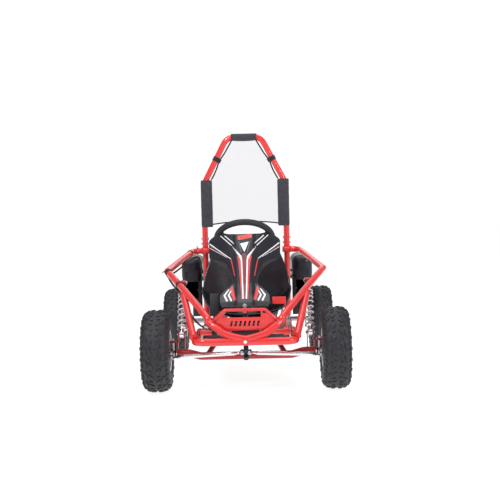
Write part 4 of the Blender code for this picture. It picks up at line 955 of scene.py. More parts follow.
def fairing_outer():
    """The fairing's outer skin as rows of points, with the rows between the key ones filled in evenly."""
    halves = [fairing_half(key) for key in FAIRING_KEYS]
    fine = []
    for number in range(len(halves) - 1):
        long = (halves[number][0] - halves[number + 1][0]).length
        steps = max(2, int(long / 0.006))
        for step in range(steps):
            t = step / steps
            start = halves[number]
            end = halves[number + 1]
            fine.append([one.lerp(two, t) for one, two in zip(start, end)])
    fine.append(halves[-1])
    for _ in range(3):
        eased = [fine[0]]
        for before, row, after in zip(fine, fine[1:], fine[2:]):
            eased.append([(one + 2 * two + three) / 4 for one, two, three in zip(before, row, after)])
        eased.append(fine[-1])
        fine = eased
    return [mirrored(row[1:], -1)[::-1] + row for row in fine]


def shell(rows, wall, into):
    """Closes an outer skin with an inner one behind it and a rounded rim between them."""
    high = len(rows)
    wide = len(rows[0])
    behind = []
    for i in range(high):
        line = []
        for j in range(wide):
            down = rows[min(i + 1, high - 1)][j] - rows[max(i - 1, 0)][j]
            side = rows[i][min(j + 1, wide - 1)] - rows[i][max(j - 1, 0)]
            normal = side.cross(down).normalized()
            if normal.dot(into) < 0:
                normal = -normal
            line.append(rows[i][j] + normal * wall)
        behind.append(line)
    made = Shape()
    made.loft(rows, ring_closed=False, caps=False)
    made.loft(behind, ring_closed=False, caps=False)
    outline = [(0, j) for j in range(wide)] + [(i, wide - 1) for i in range(1, high)]
    outline += [(high - 1, j) for j in range(wide - 2, -1, -1)] + [(i, 0) for i in range(high - 2, 0, -1)]
    made.loft([[rows[i][j] for i, j in outline], [behind[i][j] for i, j in outline]], caps=False)
    return made


def film(name, tree, outlines, material, side_both=True, lift=0.0005):
    """Thin printed film laid on the fairing: each outline is (x, z) as seen from the front."""
    made = Shape()
    for outline in outlines:
        for side in (1, -1) if side_both else (1,):
            flat = bmesh.new()
            corners = [flat.verts.new((x * side, 0, z)) for x, z in outline]
            flat.faces.new(corners)
            bmesh.ops.triangulate(flat, faces=flat.faces[:])
            for _ in range(7):
                long = [edge for edge in flat.edges if edge.calc_length() > 0.005]
                if not long:
                    break
                bmesh.ops.subdivide_edges(flat, edges=long, cuts=1)
                bmesh.ops.triangulate(flat, faces=flat.faces[:])
            for vertex in flat.verts:
                x, _, z = vertex.co
                place, normal, _, _ = tree.ray_cast(Vector((x, -1.0, z)), Vector((0, 1, 0)))
                if place is None:
                    place, normal, _, _ = tree.find_nearest(Vector((x, -0.45, z)))
                normal = normal if normal.y < 0 else -normal
                vertex.co = place + normal * lift
            mesh = bpy.data.meshes.new("film")
            flat.to_mesh(mesh)
            flat.free()
            made.add(mesh)
    return made.done(name, (material,), "front_fairing", hide=False, sharp=60)


def band(points, widths):
    """The outline of a stripe along a polyline, as wide as each point says."""
    one = []
    other = []
    for number, (x, z) in enumerate(points):
        before = Vector(points[max(number - 1, 0)])
        after = Vector(points[min(number + 1, len(points) - 1)])
        along = (after - before).normalized()
        out = Vector((along.y, -along.x)) * widths[number] / 2
        one.append((x + out.x, z + out.y))
        other.append((x - out.x, z - out.y))
    return one + other[::-1]


def build_fairing():
    rows = fairing_outer()
    panel = shell(rows, PANEL_WALL, Vector((0, 1, -0.4)))
    made = panel.done("fairing_shell", (GLOSS, MATT), "front_fairing", sharp=28)
    for polygon in made.data.polygons:
        if polygon.center.z < FOOT_BAND_TOP:
            polygon.material_index = 1
    corners = [vertex.co for vertex in made.data.vertices]
    tree = BVHTree.FromPolygons(corners, [polygon.vertices for polygon in made.data.polygons])
    inner = [(0.0485, 0.5845), (0.0140, 0.5470), (0.0120, 0.5340), (0.0062, 0.3860)]
    film("stripes_white", tree, [
        band(inner, (0.0026, 0.0056, 0.0062, 0.0048)),
        band([(0.1485, 0.5950), (0.0560, 0.5360)], (0.0052, 0.0026)),
        band([(0.1480, 0.5780), (0.0720, 0.5415)], (0.0024, 0.0012)),
        band([(0.1010, 0.6290), (0.0520, 0.5890)], (0.0036, 0.0034)),
        band([(0.0825, 0.6290), (0.0430, 0.5975)], (0.0040, 0.0036)),
        band([(0.0625, 0.4200), (0.0815, 0.3975), (0.0690, 0.3785)], (0.0034, 0.0080, 0.0072)),
        band([(0.0555, 0.4140), (0.0650, 0.3985), (0.0525, 0.3790)], (0.0030, 0.0074, 0.0066)),
    ], WHITE_FILM, lift=0.0009)
    film("stripes_red", tree, [
        [(0.03, 0.549), (0.0175, 0.5455), (0.015, 0.533), (0.0086, 0.3858), (0.013, 0.3858), (0.024, 0.52)],
        band([(0.0556, 0.5345), (0.0480, 0.5040), (0.0400, 0.4700)], (0.0040, 0.0044, 0.0050)),
        [(0.0510, 0.4340), (0.0325, 0.3820), (0.0445, 0.3800), (0.0545, 0.4010), (0.0590, 0.4200)],
    ], RED_FILM)
    film("stripes_mauve", tree, [
        [(0, 0.5585), (0.01, 0.5575), (0.0085, 0.53), (0.0038, 0.44), (0.0022, 0.3865), (0, 0.3865)],
        band([(0.0480, 0.5780), (0.0205, 0.5480)], (0.0030, 0.0056)),
        band([(0.1490, 0.5870), (0.0640, 0.5390)], (0.0036, 0.0016)),
    ], MAUVE_FILM, lift=0.0004)
    film("stripes_grey", tree, [
        [(0.0260, 0.6085), (0.0200, 0.6060), (0.0110, 0.5660), (0.0130, 0.5600), (0.0160, 0.5700)],
    ], GREY_FILM, lift=0.0004)
    triangle = [(-0.0175, 0.5980), (0.0185, 0.6050), (0.0005, 0.5630)]
    film("panel_triangle", tree, [triangle], WHITE_FILM, False, 0.0008)
    badge = [(-0.0265, 0.6290), (0.0265, 0.6355), (0.0320, 0.6330), (0.0325, 0.6245)]
    badge += [(0.0280, 0.6200), (-0.0220, 0.6120), (-0.0280, 0.6160)]
    film("badge_plate", tree, [badge], ORANGE_FILM, False, 0.0010)
    middle = Vector((0.003, 0.6240))
    small = [(middle.x + (x - middle.x) * 0.72, middle.y + (z - middle.y) * 0.55) for x, z in badge]
    film("badge_inset", tree, [small], RED_FILM, False, 0.0016)
    foot = Shape()
    edge = [(0.0890, -0.6515, 0.3600), (0.040, -0.6545, 0.3598)]
    foot.sweep(mirrored(edge, -1) + edge[::-1], 0.0042, 16)
    foot.paint = 1
    foot.bolt((0, -0.6585, 0.3640), (0, -1, 0.25), 0.0058, 0.0042)
    foot.done("fairing_foot", (MATT, CHROME), "front_fairing", hide=False)


SEAT_STATIONS = [
    # y, z, half width of the flat, flare, bolster height, direction of the bolster (y, z)
    (-0.095, 0.262, 0.120, 0.045, 0.030, 0.10, 0.99),
    (-0.050, 0.240, 0.122, 0.065, 0.080, 0.00, 1.00),
    (0.030, 0.226, 0.125, 0.078, 0.130, 0.00, 1.00),
    (0.105, 0.228, 0.127, 0.078, 0.150, -0.20, 0.98),
    (0.158, 0.262, 0.130, 0.072, 0.145, -0.75, 0.66),
    (0.178, 0.330, 0.135, 0.066, 0.115, -0.98, 0.20),
    (0.184, 0.410, 0.135, 0.062, 0.085, -1.00, 0.00),
    (0.190, 0.500, 0.125, 0.045, 0.055, -1.00, 0.00),
    (0.195, 0.565, 0.105, 0.030, 0.030, -1.00, 0.00),
    (0.197, 0.598, 0.070, 0.020, 0.012, -1.00, 0.00),
]


def between(values, place):
    """A smooth value through a list of tuples at a place counted in entries."""
    number = min(int(place), len(values) - 2)
    t = place - number
    before = values[max(number - 1, 0)]
    start = values[number]
    end = values[number + 1]
    after = values[min(number + 2, len(values) - 1)]
    made = []
    for a, b, c, d in zip(before, start, end, after):
        bend = (2 * a - 5 * b + 4 * c - d) * t * t
        twist = (3 * b - a - 3 * c + d) * t**3
        made.append(0.5 * (2 * b + (c - a) * t + bend + twist))
    return made


def build_seat():
    rows = []
    steps = 44
    runs = (len(SEAT_STATIONS) - 1) * 7
    for station in range(runs + 1):
        y, z, flat, flare, height, lean_y, lean_z = between(SEAT_STATIONS, station / 7)
        row = []
        for step in range(steps + 1):
            share = 2 * step / steps - 1
            rise = height * abs(share) ** 2.6
            x = flat * share + flare * share * abs(share)
            row.append(Vector((x, y + lean_y * rise, z + lean_z * rise)))
        rows.append(row)
    bucket = shell(rows, 0.005, Vector((0, 1, -1)))
    rim = [row[0] for row in rows] + rows[-1][1:]
    rim += [row[-1] for row in reversed(rows[:-1])] + rows[0][1:-1][::-1]
    bucket.sweep(rim, 0.0042, 12, cyclic=True)
    bucket.paint = 1
    for x in (-0.083, 0.083):
        for y in (0.000, 0.100):
            bucket.bolt((x, y, 0.2395 if y else 0.2360), (0, 0, 1), 0.0065, 0.0045)
    bucket.done("bucket_seat", (SEAT, STEEL), "seat", sharp=50)


def build_mudguards():
    low = Vector((0.2215, 0.290, 0.250))
    high = Vector((0.3235, 0.600, 0.508))
    lower_edge = 0.386
    raised_edge = 0.41  # beside the rear wheel
    for word, side in SIDES:
        block = bmesh.new()
        bmesh.ops.create_cube(block, size=1)
        bmesh.ops.scale(block, vec=high - low, verts=block.verts)
        bmesh.ops.translate(block, vec=(low + high) / 2, verts=block.verts)
        bmesh.ops.bevel(block, geom=block.edges[:], offset=0.038, segments=9, profile=0.5, affect="EDGES")
        geom = block.verts[:] + block.edges[:] + block.faces[:]
        bmesh.ops.bisect_plane(
            block, geom=geom, plane_co=(0, 0, lower_edge), plane_no=(0, 0, -1), clear_outer=True
        )
        for vertex in block.verts:
            if vertex.co.x > 0.29 and vertex.co.y > 0.315 and vertex.co.z < raised_edge:
                vertex.co.z = raised_edge
        bmesh.ops.recalc_face_normals(block, faces=block.faces)
        bmesh.ops.solidify(block, geom=block.faces[:], thickness=0.003)
        mesh = bpy.data.meshes.new("guard")
        block.to_mesh(mesh)
        block.free()
        guard = Shape().add(mesh)
        guard.box((0.2400, 0.2903, 0.300), (0.3060, 0.2933, 0.440), 0.001)
        guard.box((0.2218, 0.2903, 0.300), (0.3232, 0.2933, 0.388), 0.001)
        guard.box((0.2218, 0.2901, 0.2153), (0.2698, 0.2930, 0.303), 0.001)
        guard.paint = 1
        for x, z in ((0.240, 0.345), (0.240, 0.250), (0.300, 0.345)):
            guard.bolt((x, 0.2905, z), (0, -1, 0), 0.0045, 0.0035)
        guard.box((HOOP_X + FRAME_TUBE, 0.226, 0.400), (0.2235, 0.350, 0.408), 0.0015)
        for y in (0.330, 0.365):
            guard.bolt((0.2216, y, 0.430), (-1, 0, 0), 0.0055, 0.0045)
        if side < 0:
            for vertex in guard.mesh.verts:
                vertex.co.x = -vertex.co.x
        guard.done(f"mudguard_shell_{word}", (GLOSS, BLACK_METAL), f"mudguard_{word}", sharp=35)


# ---- Steering ----
def build_steering():
    lower = WHEEL_HUB - COLUMN_UP * COLUMN_END
    column = Shape().rod(lower, WHEEL_HUB - COLUMN_UP * 0.0105, 0.010)
    for offset in (0.180, 0.478):
        middle = WHEEL_HUB - COLUMN_UP * offset
        column.rod(middle - COLUMN_UP * 0.003, middle + COLUMN_UP * 0.003, 0.015)
    across = Vector((1, 0, 0))
    flat = Matrix((across, PITMAN_AHEAD, across.cross(PITMAN_AHEAD))).transposed().to_4x4()
    centre = WHEEL_HUB - COLUMN_UP * PITMAN_AT
    half = [(0.011, -0.014)]
    half += [(x, PITMAN_REACH + y) for x, y in ((0.0225, -0.003), (0.0225, 0.004), (0.0195, 0.007))]
    outline = half + [(-x, y) for x, y in reversed(half)]
    column.plate([outline], 0.005, Matrix.Translation(centre) @ flat, 0.0008)
    column.weld(centre + COLUMN_UP * 0.003, COLUMN_UP, 0.0102, 0.002)
    column.paint = 1
    tip = centre + PITMAN_AHEAD * PITMAN_REACH
    for side in (1, -1):
        ball = tip + Vector((PITMAN_SPREAD * side, 0, 0))
        column.bolt(ball + COLUMN_UP * 0.0022, COLUMN_UP, 0.0062, 0.0052)
    column.hexagon(lower + COLUMN_UP * 0.001, lower + COLUMN_UP * 0.008, 0.0108)
    column.done("column_shaft", (BLACK_METAL, STEEL), "steering_column")

    ring = [WHEEL_HUB + (across * x + PITMAN_AHEAD * y) for x, y in circle(96, 0.1205)]
    wheel = Shape().sweep(ring, 0.0133, 24, cyclic=True)
    for degrees in (72, -72, 180):
        turn = flat @ Matrix.Rotation(math.radians(degrees), 4, "Z")
        edge = [(0.015, 0.022), (0.0105, 0.060), (0.0125, 0.112)]
        spoke = [(-0.015, 0.022), *edge, (-0.0125, 0.112), (-0.0105, 0.060)]
        wheel.paint = 1
        wheel.plate([spoke], 0.0050, Matrix.Translation(WHEEL_HUB) @ turn, 0.0012)
        wheel.paint = 0
        sleeve = [WHEEL_HUB + turn.to_3x3() @ Vector((x, 0.109, 0)) for x in (-0.016, 0, 0.016)]
        wheel.sweep(sleeve, 0.0112, 18)
    wheel.paint = 1
    hub = [(0, -0.010), (0.033, -0.010), (0.034, -0.008), (0.034, 0.001), (0.030, 0.0045)]
    wheel.lathe([*hub, (0.012, 0.006), (0, 0.0062)], WHEEL_HUB, COLUMN_UP, 48)
    wheel.paint = 2
    for x, y in circle(3, 0.020, 0.75):
        spot = across * x + PITMAN_AHEAD * y
        wheel.bolt(WHEEL_HUB + spot + COLUMN_UP * 0.0048, COLUMN_UP, 0.0045, 0.0035)
    wheel.done("wheel_grip", (GRIP, BLACK_METAL, STEEL), "steering_wheel")

    for word, side in SIDES:
        ball = tip - COLUMN_UP * BALL_DROP + Vector((PITMAN_SPREAD * side, 0, 0))
        end = Shape()
        end.collar(0.0040, 0.009, (-0.005, 0.005), ball, COLUMN_UP, 0.0012, 32)
        end.paint = 1
        half = [(0, 0.0064), (0.0035, 0.0064), (0.0052, 0.0030)]
        end.lathe([(x, -y) for x, y in half] + half[::-1], ball, COLUMN_UP, 28)
        end.done(f"ball_eye_{word}", (STEEL, CHROME), f"rod_end_{word}")
        far = sided(OUTER_BALL, side)
        along = (far - ball).normalized()
        bar = Shape().rod(ball + along * 0.0099, ball + along * 0.0160, 0.0034, 20)
        bar.rod(ball + along * 0.0155, ball + along * 0.031, 0.0045, 20)
        bar.rod(ball + along * 0.030, far - along * 0.026, 0.0080, 32, 0.0015)
        bar.hexagon(ball + along * 0.0235, ball + along * 0.0290, 0.0070)
        bar.rod(far - along * 0.0265, far - along * 0.0215, 0.0060, 20)
        bar.rod(far - along * 0.027, far - along * 0.004, 0.0045, 20)
        bar.paint = 1
        bar.collar(0.0040, 0.0095, (-0.005, 0.005), far, (0, 0, 1), 0.0012, 32)
        bar.hexagon(far - Vector((0, 0, 0.0095)), far - Vector((0, 0, 0.0045)), 0.0075)
        bar.rod(far - Vector((0, 0, 0.0095)), far + Vector((0, 0, 0.0085)), 0.0038, 20)
        bar.done(f"tie_rod_bar_{word}", (CHROME, STEEL), f"tie_rod_{word}")


# ---- Front axle and knuckles ----
def build_front_axle():
    half = [(0.187, BEAM_Z), (0.236, BEAM_Z + BEAM_RISE), (C_BACK + 0.002, BEAM_Z + BEAM_RISE)]
    route = [(-x, FRONT_Y, z) for x, z in reversed(half)] + [(x, FRONT_Y, z) for x, z in half]
    beam = Shape().sweep(rounded(route, 0.060, 8), 0.0158, 32)
    legs = []
    for side in (1, -1):
        leg_end = Vector((0.116 * side, *FRONT_PIVOT.yz))
        low = Vector((0.162 * side, FRONT_Y + 0.004, BEAM_Z))
        beam.sweep([low, leg_end], 0.011, 24)
        beam.collar(0.0126, 0.018, (-0.019, 0.019), leg_end, (1, 0, 0), 0.0005)
        y = (FRONT_Y - 0.014, FRONT_Y + 0.014)

        def across(x_in, x_out, z_low, z_high):
            first, last = sorted((x_in * side, x_out * side))
            beam.box((first, y[0], z_low), (last, y[1], z_high), 0.0012)

        across(C_BACK, C_BACK + C_PLATE, C_LOW - C_PLATE, C_HIGH + C_PLATE)
        across(C_BACK - 0.006, C_REACH, C_HIGH, C_HIGH + C_PLATE)
        across(C_BACK + 0.001, C_REACH, C_LOW - C_PLATE, C_LOW)
        across(SHOCK_X - 0.0145, SHOCK_X - 0.0115, 0.160, 0.2440)
        across(SHOCK_X + 0.0115, SHOCK_X + 0.0145, C_HIGH + 0.003, 0.2440)
        legs.append((low, leg_end))
    beam.paint = 1
    for low, leg_end in legs:
        for share in (0.055, 0.945):
            beam.weld(low.lerp(leg_end, share), leg_end - low, 0.011, 0.002)
    for side in (1, -1):
        beam.weld(((C_BACK - 0.0005) * side, FRONT_Y, BEAM_Z + BEAM_RISE), (1, 0, 0), 0.0150, 0.0020)
    beam.paint = 2
    for side in (1, -1):
        pin = FRONT_SHOCK_LOW.yz
        beam.rod(((SHOCK_X - 0.0150) * side, *pin), ((SHOCK_X + 0.0150) * side, *pin), 0.004, 20)
        for out in (1, -1):
            beam.bolt(((SHOCK_X + 0.0145 * out) * side, *pin), (side * out, 0, 0), 0.0055, 0.0045)
    beam.done("front_beam", (AXLE_RED, WELD_RED, STEEL), "front_axle")


def build_knuckles():
    arm_z = 0.1655
    tip_radius = 0.0095
    for word, side in SIDES:
        x = KINGPIN_X * side
        hub = Vector((x, FRONT_Y, TYRE_RADIUS))
        knuckle = Shape().rod((x, FRONT_Y, C_LOW + 0.0006), (x, FRONT_Y, C_HIGH - 0.0006), 0.0125)
        arm_start = Vector((x, FRONT_Y - 0.004, arm_z))
        arm_end = Vector((OUTER_BALL.x * side, OUTER_BALL.y, arm_z))
        along = arm_end - arm_start
        turn = Matrix.Rotation(math.atan2(along.x, -along.y), 4, "Z")
        long = along.length
        turns = [math.radians(degrees) for degrees in range(80, -81, -20)]
        tip = [(tip_radius * math.sin(angle), -long - tip_radius * math.cos(angle)) for angle in turns]
        outline = [(-0.0090, 0.004), (0.0090, 0.004), (0.0090, -long), *tip, (-0.0090, -long)]
        knuckle.plate([outline], 0.0096, Matrix.Translation(arm_start) @ turn, 0.001)
        knuckle.rod(hub, (0.333 * side, *hub.yz), 0.0095)
        knuckle.paint = 1
        knuckle.rod((0.332 * side, *hub.yz), (0.4155 * side, *hub.yz), 0.008)
        nut = FRONT_HALF_TRACK + 0.0358
        knuckle.hexagon((nut * side, *hub.yz), ((nut + 0.0100) * side, *hub.yz), 0.013)
        knuckle.rod((x, FRONT_Y, C_LOW - 0.015), (x, FRONT_Y, C_HIGH + 0.015), 0.005)
        for z in (C_HIGH + C_PLATE + 0.0008, C_LOW - C_PLATE - 0.0068):
            knuckle.hexagon((x, FRONT_Y, z), (x, FRONT_Y, z + 0.006), 0.009)
        eye = Vector((OUTER_BALL.x * side, OUTER_BALL.y, 0))
        knuckle.hexagon(eye + Vector((0, 0, 0.1703)), eye + Vector((0, 0, 0.1755)), 0.0072)
        knuckle.done(f"knuckle_forging_{word}", (STEEL, CHROME), f"steering_knuckle_{word}")


def build_shock(words, low, high):
    """Upper body with its seat, lower rod with its seat, and a coil that is wider apart lower down."""
    up = (high - low).normalized()
    long = (high - low).length
    seat_low = 0.032
    seat_high = long - 0.046
    sideways = Vector((1, 0, 0))
    body = [
        (0.0, long - 0.052),
        (0.0066, long - 0.052),
        (0.0068, long * 0.50),
        (0.0112, long * 0.50),
        (0.0120, long * 0.50 + 0.001),
        (0.0120, seat_high - 0.002),
        (0.0200, seat_high - 0.002),
        (0.0210, seat_high - 0.001),
        (0.0210, seat_high + 0.004),
        (0.0195, seat_high + 0.006),
        (0.0130, seat_high + 0.0075),
        (0.0100, seat_high + 0.011),
        (0.0098, long - 0.008),
        (0.0, long - 0.006),
    ]
    upper = Shape().lathe(body, low, up, 40)
    half = [(0.0060, 0.0110), (0.0112, 0.0110), (0.0120, 0.0100)]
    eye = [(radius, -height) for radius, height in half] + half[::-1]
    upper.paint = 1
    upper.lathe(eye, high, sideways, 36, True)
    upper.paint = 2
    upper.collar(0.0052, 0.0085, (-0.0125, 0.0125), high, sideways, 0.0, 28)
    upper.done(f"shock_tube_{words}", (BLACK_METAL, AXLE_RED, STEEL), f"shock_body_{words}")
    shaft = [
        (0.0, 0.006),
        (0.0100, 0.006),
        (0.0104, 0.022),
        (0.0200, seat_low - 0.005),
        (0.0210, seat_low - 0.004),
        (0.0210, seat_low - 0.001),
        (0.0200, seat_low),
        (0.0082, seat_low + 0.001),
        (0.0062, seat_low + 0.003),
        (0.0062, long * 0.58),
        (0.0, long * 0.58),
    ]
    lower = Shape().lathe(shaft, low, up, 40)
    eye = [(radius, height * 9 / 11) for radius, height in eye]
    lower.lathe(eye, low, sideways, 36, True)
    lower.done(f"shock_shaft_{words}", (CHROME,), f"shock_rod_{words}")
    turn = axis_turn(up)
    wire = 0.0030
    bottom = seat_low + wire + 0.0003
    top = seat_high - 0.002 - wire
    turns = 8
    coil_radius = 0.0176
    closed = 0.07  # the share of the coil at each end that lies on its seat
    closed_rise = 0.004
    points = []
    steps = turns * 26
    for step in range(steps + 1):
        share = step / steps
        angle = math.tau * turns * share
        x = coil_radius * math.cos(angle)
        y = coil_radius * math.sin(angle)
        free = min(max((share - closed) / (1 - 2 * closed), 0), 1)
        height = bottom + closed_rise * min(share / closed, 1)
        height += (top - bottom - 2 * closed_rise) * (1 - (1 - free) ** 1.32)
        height += closed_rise * min(max((share - (1 - closed)) / closed, 0), 1)
        points.append(low + turn @ Vector((x, y, height)))
    coil = Shape().sweep(points, wire, 12)
    made = coil.done(f"coil_spring_{words}", (WHITE_PAINT,), f"shock_spring_{words}")
    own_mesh(made)


def build_shocks():
    for word, side in SIDES:
        low, high = mirrored([FRONT_SHOCK_LOW, FRONT_SHOCK_HIGH], side)
        build_shock(f"front_{word}", low, high)
    build_shock("rear", REAR_SHOCK_LOW, REAR_SHOCK_HIGH)


# ---- Pedals, brake cylinder, cable ----
def build_pedals():
    lean = Matrix.Rotation(math.radians(-18), 3, "X")
    foot = PEDAL_AXIS
    sleeve = (0.0106, 0.0155, (0, 0.020))
    brake = Shape().collar(*sleeve, (0.152, *foot.yz), (1, 0, 0), 0.0005)

    def block(lever, x, y, z, bevel):
        """A box leaning with the pedals, from and to the given x, with y and z measured from their axis."""
        low, high = ((x[end], foot.y + y[end], foot.z + z[end]) for end in (0, 1))
        lever.box(low, high, bevel, lean, foot)

    block(brake, (0.1585, 0.1645), (-0.005, 0.005), (0.005, 0.125), 0.001)
    block(brake, (0.110, 0.1650), (-0.004, 0.001), (0.112, 0.142), 0.0012)
    brake.paint = 1
    for number in range(5):
        rise = number * 0.005
        block(brake, (0.115, 0.160), (0.0008, 0.0019), (0.1155 + rise, 0.1180 + rise), 0.0004)
    brake.done("brake_lever", (RED, MATT), "brake_pedal")
    throttle = Shape().collar(*sleeve, (-0.134, *foot.yz), (1, 0, 0), 0.0005)
    block(throttle, (-0.129, -0.119), (-0.004, 0.004), (0.005, 0.100), 0.001)
    block(throttle, (-0.142, -0.106), (-0.006, 0.001), (0.068, 0.160), 0.002)
    for number in range(9):
        rise = number * 0.0095
        block(throttle, (-0.139, -0.109), (0.0006, 0.0019), (0.073 + rise, 0.0765 + rise), 0.0005)
    throttle.done("throttle_lever", (MATT,), "throttle_pedal")

    corner = (0.1640, -0.505, 0.2425)
    pump = Shape().box(corner, (0.1720, -0.465, 0.270), 0.001)
    pump.box(corner, (0.1950, -0.465, 0.2455), 0.001)
    barrel = [(0, 0), (0.0095, 0), (0.0105, 0.002), (0.0105, 0.020), (0.0115, 0.022), (0.0115, 0.070)]
    barrel += [(0.0100, 0.075), (0.006, 0.080), (0, 0.080)]
    pump.lathe(barrel, (0.1680, -0.535, 0.276), (0, 1, 0), 36)
    reservoir = (0.1680, -0.480)
    pump.rod((*reservoir, 0.280), (*reservoir, 0.302), 0.0122)
    pump.paint = 1
    pump.rod((*reservoir, 0.301), (*reservoir, 0.3118), 0.0130, 24, 0.002)
    pump.paint = 2
    pump.bolt((0.1635, -0.485, 0.256), (-1, 0, 0), 0.005, 0.004)
    pump.done("brake_pump", (ALUMINIUM, MATT, STEEL), "brake_master_cylinder")


CABLE_ROUTE = [
    (-0.150, -0.548, 0.262),
    (-0.180, -0.535, 0.272),
    (-0.205, -0.515, 0.292),
    (-0.225, -0.490, 0.318),
    (-0.246, -0.466, 0.350),
    (-0.258, -0.452, 0.378),
    (-0.271, -0.430, 0.397),
    (-0.2865, -0.400, 0.4105),
    (-0.3105, -0.350, 0.4310),
    (-0.3290, -0.300, 0.4530),
    (-0.3290, -0.262, 0.4600),
    (-0.3100, -0.180, 0.4700),
    (-0.2925, -0.090, 0.4825),
    (-0.2735, 0.010, 0.4965),
    (-0.2550, 0.100, 0.5080),
    (-0.243, 0.160, 0.5150),
    (-0.228, 0.192, 0.5100),
    (-0.222, 0.225, 0.4800),
    (-0.219, 0.250, 0.4480),
    (-0.205, 0.272, 0.4250),
    (-0.1845, 0.285, 0.4120),
]


def build_cable():
    """The throttle cable and the ties that hold it to the right-hand side bar."""
    cable = Shape().sweep(smooth_route(CABLE_ROUTE, 8), 0.0040, 14)
    cable.paint = 1
    for number in (0, -1):
        here = Vector(CABLE_ROUTE[number])
        there = Vector(CABLE_ROUTE[1 if number == 0 else -2])
        cable.rod(here, here.lerp(there, 0.55), 0.0050, 20)
    cable.done("throttle_line", (MATT, STEEL), "throttle_cable")
    bar = [Vector(point) for point in side_bar_route(-1)]
    ties = Shape()
    for place, wide in ((-0.292, 0.016), (-0.405, 0.012), (0.125, 0.008)):
        near = min(range(1, len(bar) - 1), key=lambda n: abs(bar[n].y - place))
        if bar[near].y < place:
            first, last = bar[near], bar[near - 1]
        else:
            first, last = bar[near + 1], bar[near]
        share = (place - first.y) / (last.y - first.y)
        middle = first.lerp(last, share)
        ties.tie(FRAME_TUBE + 0.0004, FRAME_TUBE + 0.0020, wide, 0.0008, middle, last - first)
        close = min(smooth_route(CABLE_ROUTE, 8), key=lambda point: (point - middle).length)
        ties.tie(0.0042, 0.0058, wide, 0.0008, close, (last - first).normalized(), 24)
    band_at = Vector((-0.2330, SIDE_BAR_Y, SIDE_BAR_Z))
    ties.tie(FRAME_TUBE + 0.0004, FRAME_TUBE + 0.0022, 0.007, 0.0005, band_at, (1, 0, 0))
    ties.rod(band_at + Vector((0, -0.005, 0.0135)), band_at + Vector((-0.004, -0.009, 0.0240)), 0.0018, 12)
    elbow = sided(SIDE_BAR_ELBOW, -1)
    ties.rod(elbow + Vector((-0.012, -0.004, 0)), elbow + Vector((-0.0215, -0.010, -0.004)), 0.0022, 12)
    ties.done("cable_ties", (MATT,), "side_bar_right", hide=False, slot="matt_black")


# ---- Rear axle, drive, brake ----
def build_swingarm():
    cross = (0.400, 0.1790)
    cross_radius = 0.0110
    arm = Shape().rod((-0.120, *cross), (0.120, *cross), cross_radius)
    for side in (1, -1):
        pivot = Vector((0.1005 * side, *REAR_PIVOT.yz))
        arm.collar(0.0086, 0.016, (-0.0205, 0.0205), pivot, (1, 0, 0), 0.0005)
        low = Vector((0.102 * side, REAR_PIVOT.y + 0.004, REAR_PIVOT.z))
        high = Vector((0.128 * side, REAR_Y - 0.010, TYRE_RADIUS))
        arm.sweep([low, high], 0.0125, 26)
        house = (0.128 * side, REAR_Y, TYRE_RADIUS)
        arm.collar(0.0132, 0.0260, (-0.020, 0.020), house, (1, 0, 0), 0.001, 44)
        ear_x = 0.0150 * side
        arm.box((ear_x - 0.0025, 0.388, 0.172), (ear_x + 0.0025, 0.412, 0.246), 0.001)
    arm.box((0.052, 0.345, 0.1905), (0.128, 0.408, 0.1960), 0.001)
    arm.box((0.060, 0.380, 0.170), (0.118, 0.400, 0.1950), 0.001)
    arm.box((-0.159, 0.435, 0.160), (-0.153, 0.480, 0.262), 0.001)
    arm.box((-0.157, 0.440, 0.160), (-0.128, 0.470, 0.178), 0.001)
    arm.paint = 1
    for side in (1, -1):
        arm.weld((0.1085 * side, *cross), (1, 0, 0), cross_radius, 0.002)
        arm.weld((0.1262 * side, 0.4780, 0.1712), (0, 1, -0.09), 0.0125, 0.0022)
    arm.paint = 2
    pin = REAR_SHOCK_LOW.yz
    arm.rod((-0.0195, *pin), (0.0195, *pin), 0.004)
    arm.hexagon((0.0176, *pin), (0.0226, *pin), 0.0065)
    arm.done("swingarm_frame", (AXLE_RED, WELD_RED, STEEL), "rear_swingarm")


def holed_disc(shape, centre, axis, outline, holes, ring, thick):
    """A flat disc with an outline and that many round holes; ring is the holes' (distance out, radius)."""
    rounds = [[(x + u, y + v) for u, v in circle(20, ring[1])] for x, y in circle(holes, ring[0], 0.5)]
    shape.plate([outline, *rounds], thick, Matrix.Translation(centre) @ axis_turn(axis).to_4x4(), 0.0004)


def toothed(teeth, root, tip, shares):
    """A sprocket's outline. Shares of a tooth's step: the root's end, the tip's two ends, the next root."""
    outline = []
    for number in range(teeth):
        for share, radius in zip((0.0, *shares), (root, root, tip, tip, root)):
            angle = math.tau * (number + share) / teeth
            outline.append((radius * math.cos(angle), radius * math.sin(angle)))
    return outline


